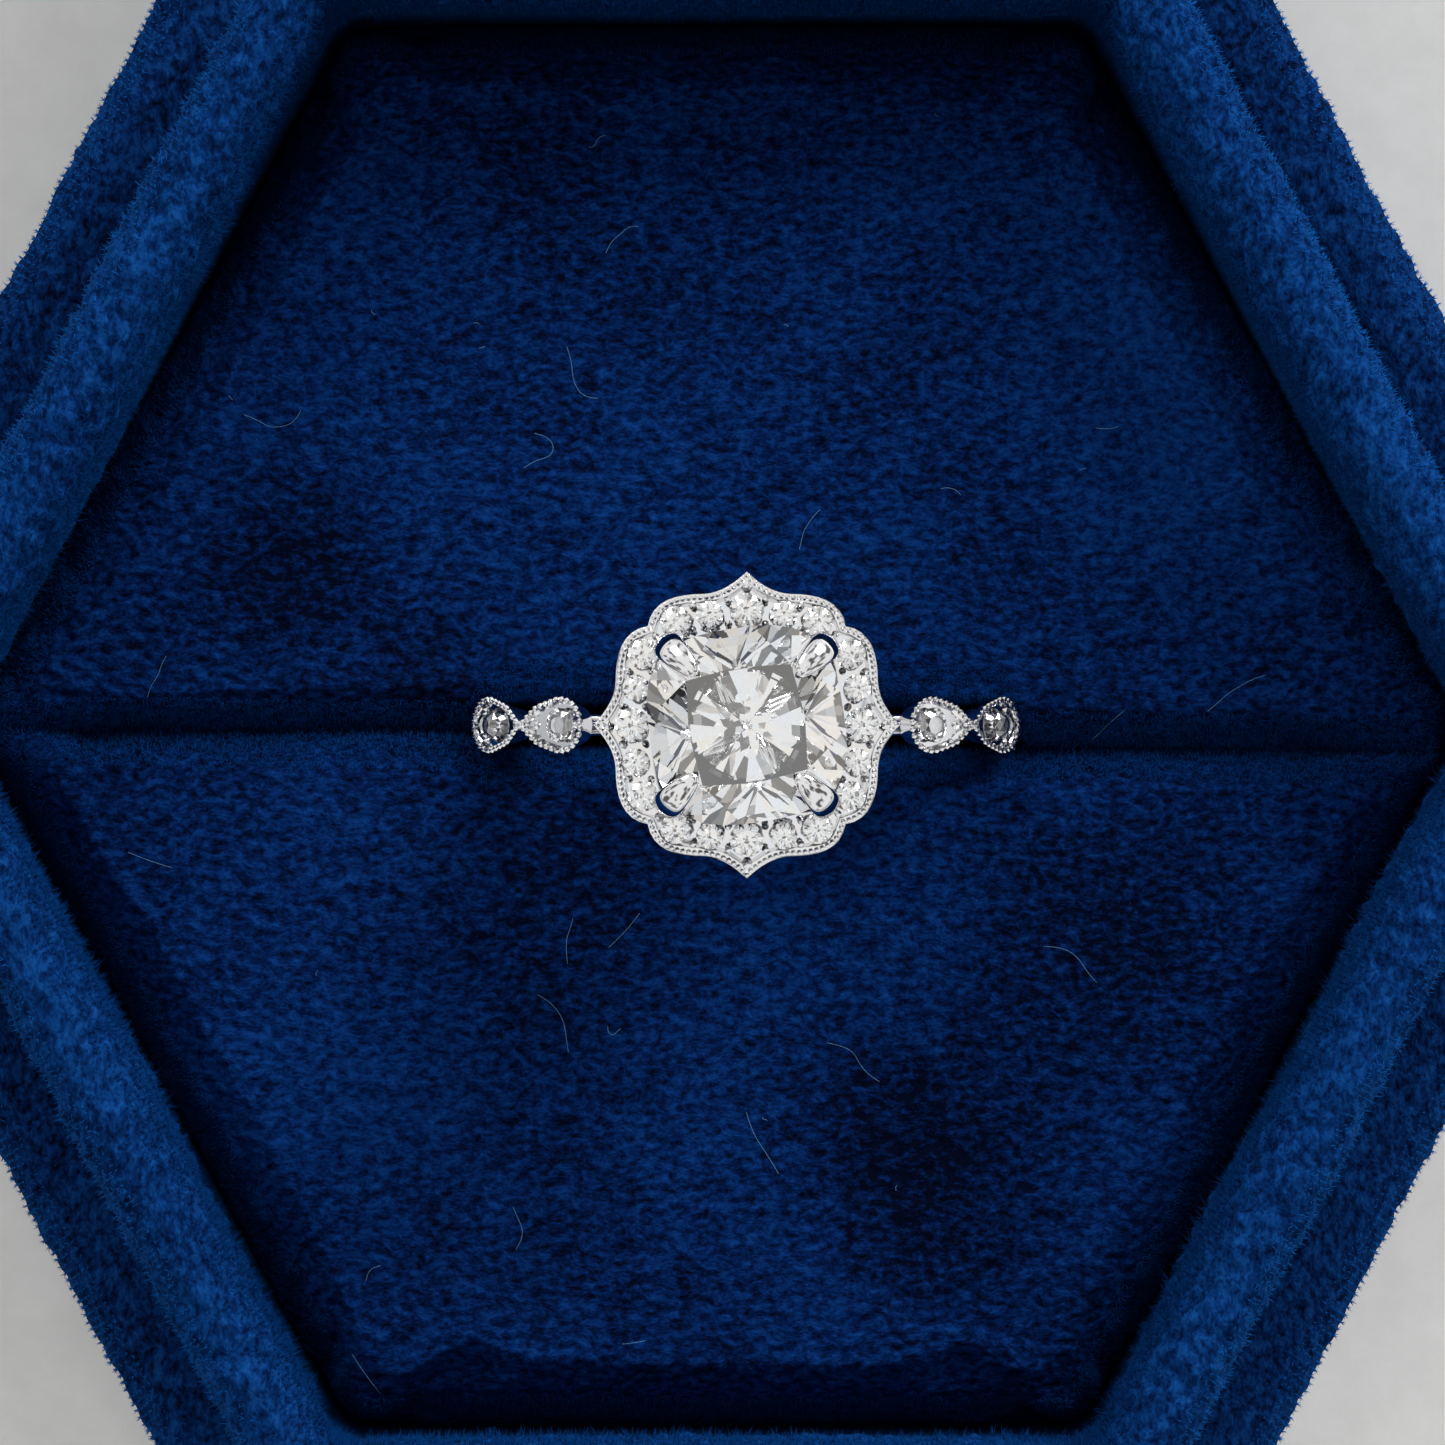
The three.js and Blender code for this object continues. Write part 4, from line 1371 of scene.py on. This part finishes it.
@dataclass(frozen=True)
class Tier:
    """One ring of corner points of a cut stone, as shares of the girdle's radius.

    Args:
        radius: The ring's radius.
        height: Its height above the girdle.
        count: How many corners it has.
        turn: Its turn, in steps of its corners.
        squareness: 2 is round. Higher is squarer.
    """

    radius: float
    height: float
    count: int
    turn: float = 0.0
    squareness: float = 2.0

    def points(self, bm: BMesh) -> None:
        """Adds the ring's points."""
        spin = Matrix.Rotation(self.turn * math.tau / self.count, 4, "Z")
        made = bmesh.ops.create_circle(bm, segments=self.count, radius=self.radius, matrix=spin)
        for vert in made["verts"]:
            x, y = abs(vert.co.x) / self.radius, abs(vert.co.y) / self.radius
            vert.co *= (x**self.squareness + y**self.squareness) ** (-1 / self.squareness)
            vert.co.z = self.height


ROUND_CUT = (
    Tier(0.58, 0.33, 8),
    Tier(0.82, 0.19, 8, turn=0.5),
    Tier(1.0, 0.05, 16),
    Tier(1.0, 0.0, 16),
    Tier(0.55, -0.42, 8, turn=0.5),
    Tier(0.02, -0.86, 4),
)
CUSHION_CUT = (
    Tier(0.6, 0.32, 8, squareness=7.0),
    Tier(0.83, 0.17, 8, turn=0.5, squareness=3.6),
    Tier(1.0, 0.045, 32, squareness=3.0),
    Tier(1.0, 0.0, 32, squareness=3.0),
    Tier(0.8, -0.19, 16, turn=0.5, squareness=2.8),
    Tier(0.5, -0.46, 8, turn=0.5, squareness=2.2),
    Tier(0.2, -0.71, 8),
    Tier(0.015, -0.83, 4),
)


@dataclass
class Stones:
    """Every stone of the ring, each as its own cut piece."""

    centre_half: float = 3.05 * MM
    centre_turn: float = math.radians(9)
    girdle_rise: float = 2.5 * MM
    halo_stones: int = 20
    halo_fill: float = 1.08
    band_radius: float = 0.56 * MM

    def build(self, bench: "Bench") -> None:
        """Cuts the stones and sets each where the frame has it.

        Args:
            bench: The metal that the band's stones sit in.
        """
        low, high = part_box("centre_stone")
        girdle = Vector(((low.x + high.x) / 2, (low.y + high.y) / 2, low.z + self.girdle_rise))
        place = Matrix.Translation(girdle) @ Matrix.Rotation(self.centre_turn, 4, "Z")
        self.add("centre_stone", "centre_cushion", CUSHION_CUT, place @ Matrix.Scale(self.centre_half, 4))
        plate_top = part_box("halo_plate")[1].z
        for number in range(1, self.halo_stones + 1):
            node = f"halo_stone_{number:02d}"
            low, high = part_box(node)
            radius = (high.x - low.x) / 2 * self.halo_fill
            at = Vector(((low.x + high.x) / 2, (low.y + high.y) / 2, plate_top + radius / 4))
            place = Matrix.Translation(at) @ Matrix.Rotation(number * 0.37, 4, "Z") @ Matrix.Scale(radius, 4)
            self.add(node, f"halo_brilliant_{number:02d}", ROUND_CUT, place)
        for number, seat in enumerate(bench.seats(), 1):
            place = seat.place() @ bench.stone_seat() @ Matrix.Scale(self.band_radius, 4)
            self.add(f"band_stone_{number}", f"band_brilliant_{number}", ROUND_CUT, place)

    def add(self, node: str, name: str, cut: Sequence[Tier], matrix: Matrix) -> None:
        """Adds one stone in place of its node.

        Args:
            node: The node that it stands for.
            name: The piece's name.
            cut: The rings of its corner points.
            matrix: Places a stone of girdle radius 1, with its table up.
        """
        bm = bmesh.new()
        for tier in cut:
            tier.points(bm)
        hull_of(bm)
        bm.transform(matrix)
        piece = to_piece(bm, name, smooth=False)
        settle(piece, Body.RING, CLEAR_STONE.material(), "stone", node)


@dataclass(frozen=True)
class Seat:
    """One pear-shaped section of the band: where it sits and which way its wide end points."""

    angle: float
    wide_away: bool
    centre: Vector
    radius: float

    def place(self) -> Matrix:
        """Takes local X to the pear's wide end, Y across the band and Z outward."""
        away = math.copysign(1, self.angle) * (1 if self.wide_away else -1)
        flip = Matrix.Identity(4) if away > 0 else Matrix.Rotation(math.pi, 4, "Z")
        tilt = Matrix.Rotation(self.angle, 4, "Y")
        return Matrix.Translation(self.centre) @ tilt @ Matrix.Translation((0, 0, self.radius)) @ flip


@dataclass
class Bench:
    """The ring's metal: shank, pear sections, head rail, halo and claws."""

    first_angle: float = math.radians(38)
    pitch: float = math.radians(15.5)
    pear: tuple[tuple[float, float], ...] = ((0.34, 0.86), (-0.36, 0.66), (-1.08, 0.2))
    cup_top: float = 0.08 * MM
    cup_depth: float = 0.9 * MM
    shank_wall: float = 1.6 * MM
    shank_half: float = 0.8 * MM
    waist_half: float = 0.34 * MM
    waist_sink: float = 0.07
    milgrain: float = 0.11 * MM
    claw_half: float = 0.5 * MM
    buried: float = 0.5 * MM

    def build(self) -> None:
        """Builds the metal pieces in order."""
        self.build_shank()
        self.build_halo()
        self.build_rail()
        for number in range(1, 5):
            self.build_claw(number)

    def measure(self) -> tuple[Vector, float]:
        """The shank's centre and outer radius."""
        low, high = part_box("ring_shank")
        radius = (high.x - low.x) / 2
        return Vector(((low.x + high.x) / 2, (low.y + high.y) / 2, low.z + radius)), radius

    def seats(self) -> list[Seat]:
        """The six pear sections, left from the head outward and then right; each third one lies deeper."""
        centre, radius = self.measure()
        angles = [side * (self.first_angle + self.pitch * i) for side in (-1, 1) for i in range(3)]
        sunk = [radius - (self.buried if i % 3 == 2 else 0.0) for i in range(len(angles))]
        return [Seat(angle, i % 3 == 1, centre, out) for i, (angle, out) in enumerate(zip(angles, sunk))]

    def stone_seat(self) -> Matrix:
        """Where a section's stone sits on its cup, at its girdle."""
        return Matrix.Translation((self.pear[0][0] * MM, 0, self.cup_top + 0.04 * MM))

    def build_shank(self) -> None:
        """The band, spun round the finger hole and narrowed under its sections."""
        centre, radius = self.measure()
        bm = bmesh.new()
        quarter = Matrix.Rotation(math.pi / 4, 4, "Z")
        made = bmesh.ops.create_circle(bm, cap_ends=True, segments=4, radius=1.0, matrix=quarter)["verts"]
        profile = (self.shank_wall / math.sqrt(2), self.shank_half * math.sqrt(2), 1)
        bmesh.ops.scale(bm, vec=profile, verts=made)
        rounding = 0.3 * MM
        bmesh.ops.bevel(
            bm, geom=made, offset=rounding, affect="VERTICES", segments=4, profile=0.5, material=-1
        )
        bmesh.ops.translate(bm, vec=(radius - self.shank_wall / 2, 0, 0), verts=bm.verts)
        bmesh.ops.delete(bm, geom=list(bm.faces), context="FACES_ONLY")
        section = [*bm.verts, *bm.edges]
        bmesh.ops.spin(
            bm, geom=section, axis=(0, 1, 0), cent=(0, 0, 0), angle=math.tau, steps=200, use_merge=True
        )
        outward(bm)
        for vert in bm.verts:
            turn = abs(math.atan2(vert.co.x, vert.co.z))
            share = self.narrowing(turn)
            vert.co.y *= 1 - (1 - self.waist_half / self.shank_half) * share
            vert.co *= 1 - self.waist_sink * share * max(0.0, vert.co.length / radius - 0.9) / 0.1
        bmesh.ops.translate(bm, vec=centre, verts=bm.verts)
        for seat in self.seats():
            self.add_pear(bm, seat.place())
        piece = to_piece(bm, "band")
        sharpen(piece)
        settle(piece, Body.RING, WHITE_GOLD.material(), "white_gold", "ring_shank")

    def narrowing(self, turn: float) -> float:
        """How far the band has narrowed at an angle from the top, from 0 to 1."""
        end = self.first_angle + 2.5 * self.pitch
        return min(max((end - turn) / math.radians(3), 0.0), 1.0)

    def add_pear(self, bm: BMesh, place: Matrix) -> None:
        """Adds a pear section: a recessed cup, milgrain round its edge and grains that hold the stone.

        Args:
            bm: The mesh to add to.
            place: Takes local X to the pear's wide end and Z outward.
        """
        cup = bmesh.new()
        for x, radius in self.pear:
            for share, z in ((1.0, self.cup_top), (0.72, self.cup_top - self.cup_depth)):
                at = Matrix.Translation((x * MM, 0, z))
                bmesh.ops.create_circle(cup, segments=32, radius=radius * share * MM, matrix=at)
        hull_of(cup)
        top = max(cup.faces, key=lambda f: f.calc_center_median().z)
        rim = [v.co.copy() for v in top.verts]
        bmesh.ops.inset_region(cup, faces=[top], thickness=0.17 * MM)
        bmesh.ops.translate(cup, vec=(0, 0, -0.18 * MM), verts=list(top.verts))
        bmesh.ops.transform(cup, matrix=place, verts=cup.verts)
        join(bm, cup)
        inward = Vector((0.1 * MM, 0, self.cup_top))
        edge = [point.lerp(inward, 0.04) for point in evenly(rim, 0.235 * MM)]
        add_beads(bm, [place @ point for point in edge], self.milgrain)
        x, z = self.pear[0][0], self.cup_top / MM
        for across, along, radius in ((0.43, x - 0.08, 0.15), (-0.43, x - 0.08, 0.15), (0, x - 0.84, 0.14)):
            add_beads(bm, [place @ (Vector((along, across, z + 0.14)) * MM)], radius * MM)
        add_beads(bm, [place @ (Vector((x + 0.6, 0, z)) * MM)], 0.13 * MM)
        add_beads(bm, [place @ (Vector((-1.3, 0, z - 0.02)) * MM)], 0.16 * MM)

    def build_rail(self) -> None:
        """The head's lower rail, a round hoop that the claws stand on."""
        low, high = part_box("head_rail")
        middle = Vector((a + b) / 2 for a, b in zip(low, high))
        wire = (high.z - low.z) / 2
        bm = bmesh.new()
        out = Matrix.Translation(((high.x - low.x) / 2 - wire, 0, 0))
        upright = out @ Matrix.Rotation(math.pi / 2, 4, "X")
        bmesh.ops.create_circle(bm, segments=14, radius=wire, matrix=upright)
        section = [*bm.verts, *bm.edges]
        bmesh.ops.spin(
            bm, geom=section, axis=(0, 0, 1), cent=(0, 0, 0), angle=math.tau, steps=72, use_merge=True
        )
        outward(bm)
        bmesh.ops.translate(bm, vec=middle, verts=bm.verts)
        piece = to_piece(bm, "gallery_rail")
        settle(piece, Body.RING, WHITE_GOLD.material(), "white_gold", "head_rail")

    def build_claw(self, number: int) -> None:
        """One claw: a post that bends in over the stone's crown and tapers to a rounded tip.

        Args:
            number: Which of the four claws.
        """
        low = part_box(f"claw_{number}")[0]
        rail_low, rail_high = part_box("head_rail")
        centre = Vector(((rail_low.x + rail_high.x) / 2, (rail_low.y + rail_high.y) / 2, 0))
        bends = (
            (3.62, low.z / MM, 0.24, 0.9, 0),
            (3.66, 28.2, 0.24, 0.95, 0),
            (3.64, 28.95, 0.24, 1.0, -4),
            (3.56, 29.3, 0.24, 1.0, -24),
            (3.4, 29.56, 0.235, 1.0, -44),
            (3.12, 29.76, 0.225, 0.94, -60),
            (2.82, 29.9, 0.21, 0.8, -68),
            (2.54, 29.99, 0.18, 0.64, -76),
            (2.34, 30.02, 0.13, 0.47, -84),
            (2.24, 30.02, 0.08, 0.3, -88),
            (2.2, 30.02, 0.02, 0.08, -90),
        )
        spin = Matrix.Translation(centre) @ Matrix.Rotation(math.radians(45 + 90 * (number - 1)), 4, "Z")
        stations = []
        for reach, z, thick, wide, tilt in bends:
            at = Matrix.Translation((reach * MM, 0, z * MM))
            lean = Matrix.Rotation(math.radians(tilt), 4, "Y")
            size = Matrix.Diagonal((thick * MM, self.claw_half * wide, MM, 1))
            stations.append(spin @ at @ lean @ size)
        bm = bmesh.new()
        draw_out(bm, 20, stations)
        outward(bm)
        piece = to_piece(bm, f"claw_post_{number}")
        apply_modifier(piece, "SUBSURF", levels=1, render_levels=1)
        settle(piece, Body.RING, WHITE_GOLD.material(), "white_gold", f"claw_{number}")

    def build_halo(self) -> None:
        """The halo: a pierced plate, a raised rim round it, milgrain and the grains between stones."""
        outline = HaloOutline()
        low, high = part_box("halo_plate")
        middle = Vector(((low.x + high.x) / 2, (low.y + high.y) / 2, 0))
        top, floor = high.z - 0.02 * MM, high.z - 0.3 * MM
        edge, inner = outline.edge(), outline.edge(inset=0.2 * MM)
        bm = bmesh.new()
        self.add_plate(bm, Plate(edge, outline.window(), low.z, floor), middle)
        self.add_plate(bm, Plate(edge, inner, low.z + 0.1 * MM, top), middle)
        crest = middle + Vector((0, 0, top))
        rail = evenly(outline.edge(inset=0.08 * MM), 0.185 * MM)
        add_beads(bm, [crest + place for place in rail], 0.1 * MM)
        add_beads(bm, [crest + place for place in outline.grains()], 0.13 * MM)
        add_beads(bm, [crest + place for place in outline.tips()], 0.17 * MM)
        piece = to_piece(bm, "halo_frame")
        sharpen(piece)
        settle(piece, Body.RING, WHITE_GOLD.material(), "white_gold", "halo_plate")

    def add_plate(self, bm: BMesh, plate: "Plate", middle: Vector) -> None:
        """Adds a plate's solid over the head's middle."""
        solid = bmesh.new()
        mesh = plate.mesh()
        solid.from_mesh(mesh)
        bpy.data.meshes.remove(mesh)
        outward(solid)
        bmesh.ops.translate(solid, vec=middle, verts=solid.verts)
        join(bm, solid)


@dataclass(frozen=True)
class HaloOutline:
    """The halo's edge: on each side an ogee tip between two lobes, with a notch at each corner."""

    side: tuple[tuple[float, float], ...] = (
        (0, 4.77),
        (-0.38, 4.42),
        (-0.78, 4.12),
        (-1.35, 4.08),
        (-2.2, 4.08),
        (-2.95, 3.9),
        (-3.08, 3.08),
        (-3.9, 2.95),
        (-4.08, 2.2),
        (-4.08, 1.35),
        (-4.12, 0.78),
        (-4.42, 0.38),
        (-4.77, 0),
    )
    stones: tuple[tuple[float, float], ...] = (
        (-2.23, 3.25),
        (-1.16, 3.47),
        (0, 3.6),
        (1.16, 3.47),
        (2.23, 3.25),
    )
    window_half: float = 2.72 * MM
    tip_reach: float = 4.36

    def turned(self, x: float, y: float, side: int) -> Vector:
        """A point of the first side, in millimetres, turned to another side."""
        return Matrix.Rotation(math.radians(90 * side), 4, "Z") @ Vector((x * MM, y * MM, 0))

    def edge(self, inset: float = 0.0) -> list[Vector]:
        """The closed outline as close points, set in evenly from the rim."""
        points = []
        for side in range(4):
            at = [self.turned(x, y, side) for x, y in self.side]
            for i in range(0, 12, 3):
                points += interpolate_bezier(*at[i : i + 4], 9)[:-1]
        if not inset:
            return points
        moved = []
        for before, point, after in zip([points[-1], *points], points, [*points[1:], points[0]]):
            along = (after - before).normalized()
            moved.append(point + Vector((-along.y, along.x, 0)) * inset)
        return moved

    def window(self) -> list[Vector]:
        """The opening under the centre stone."""
        half = self.window_half / MM
        return [self.turned(half, half, side) for side in range(4)]

    def grains(self) -> list[Vector]:
        """The small grains between neighbouring stones."""
        made = []
        for side in range(4):
            for (x, y), (next_x, next_y) in zip(self.stones, self.stones[1:]):
                middle_x, middle_y = (x + next_x) / 2, (y + next_y) / 2
                made += [self.turned(middle_x, middle_y + away, side) for away in (0.36, -0.36)]
            made += [self.turned(x, 2.86, side) for x in (-0.62, 0.62)]
            made.append(self.turned(2.78, 2.86, side))
        return made

    def tips(self) -> list[Vector]:
        """The bead in each ogee tip."""
        return [self.turned(0, self.tip_reach, side) for side in range(4)]


@dataclass(frozen=True)
class Plate:
    """A flat plate from one closed outline with one hole in it."""

    outline: Sequence[Vector]
    hole: Sequence[Vector]
    low: float
    high: float
    edge: float = 0.04 * MM

    def mesh(self) -> bpy.types.Mesh:
        """The plate as a mesh at its height."""
        data = bpy.data.curves.new("plate_curve", "CURVE")
        data.dimensions = "2D"
        data.fill_mode = "BOTH"
        data.extrude = (self.high - self.low) / 2 - self.edge
        data.bevel_depth = self.edge
        data.bevel_resolution = 1
        for loop in (self.outline, self.hole):
            spline = data.splines.new("POLY")
            spline.points.add(len(loop) - 1)
            for point, place in zip(spline.points, loop):
                point.co = (*place, 1)
            spline.use_cyclic_u = True
        holder = bpy.data.objects.new("plate_curve", data)
        bpy.context.scene.collection.objects.link(holder)
        mesh = bpy.data.meshes.new_from_object(holder.evaluated_get(bpy.context.evaluated_depsgraph_get()))
        mesh.transform(Matrix.Translation((0, 0, (self.low + self.high) / 2)))
        bpy.data.objects.remove(holder)
        bpy.data.curves.remove(data)
        return mesh


def sharpen(piece: bpy.types.Object) -> None:
    """Shades a piece smooth except across its sharp edges."""
    piece.data.shade_smooth()
    piece.data.set_sharp_from_angle(angle=math.radians(40))


def main() -> None:
    """Builds every sub-assembly in order."""
    logging.basicConfig(level=logging.INFO, format="%(name)s: %(message)s")
    Studio().build()
    Shell().build()
    Collar().build()
    SeatPad(side=Side.BACK, node="back_pad").build()
    SeatPad(side=Side.FRONT, node="front_pad").build()
    Lint().build([bpy.data.objects["back_pad_cushion"], bpy.data.objects["front_pad_cushion"]])
    bench = Bench()
    bench.build()
    Stones().build(bench)
    Lid().build()
    LidPad().build()


if __name__ == "__main__":
    main()
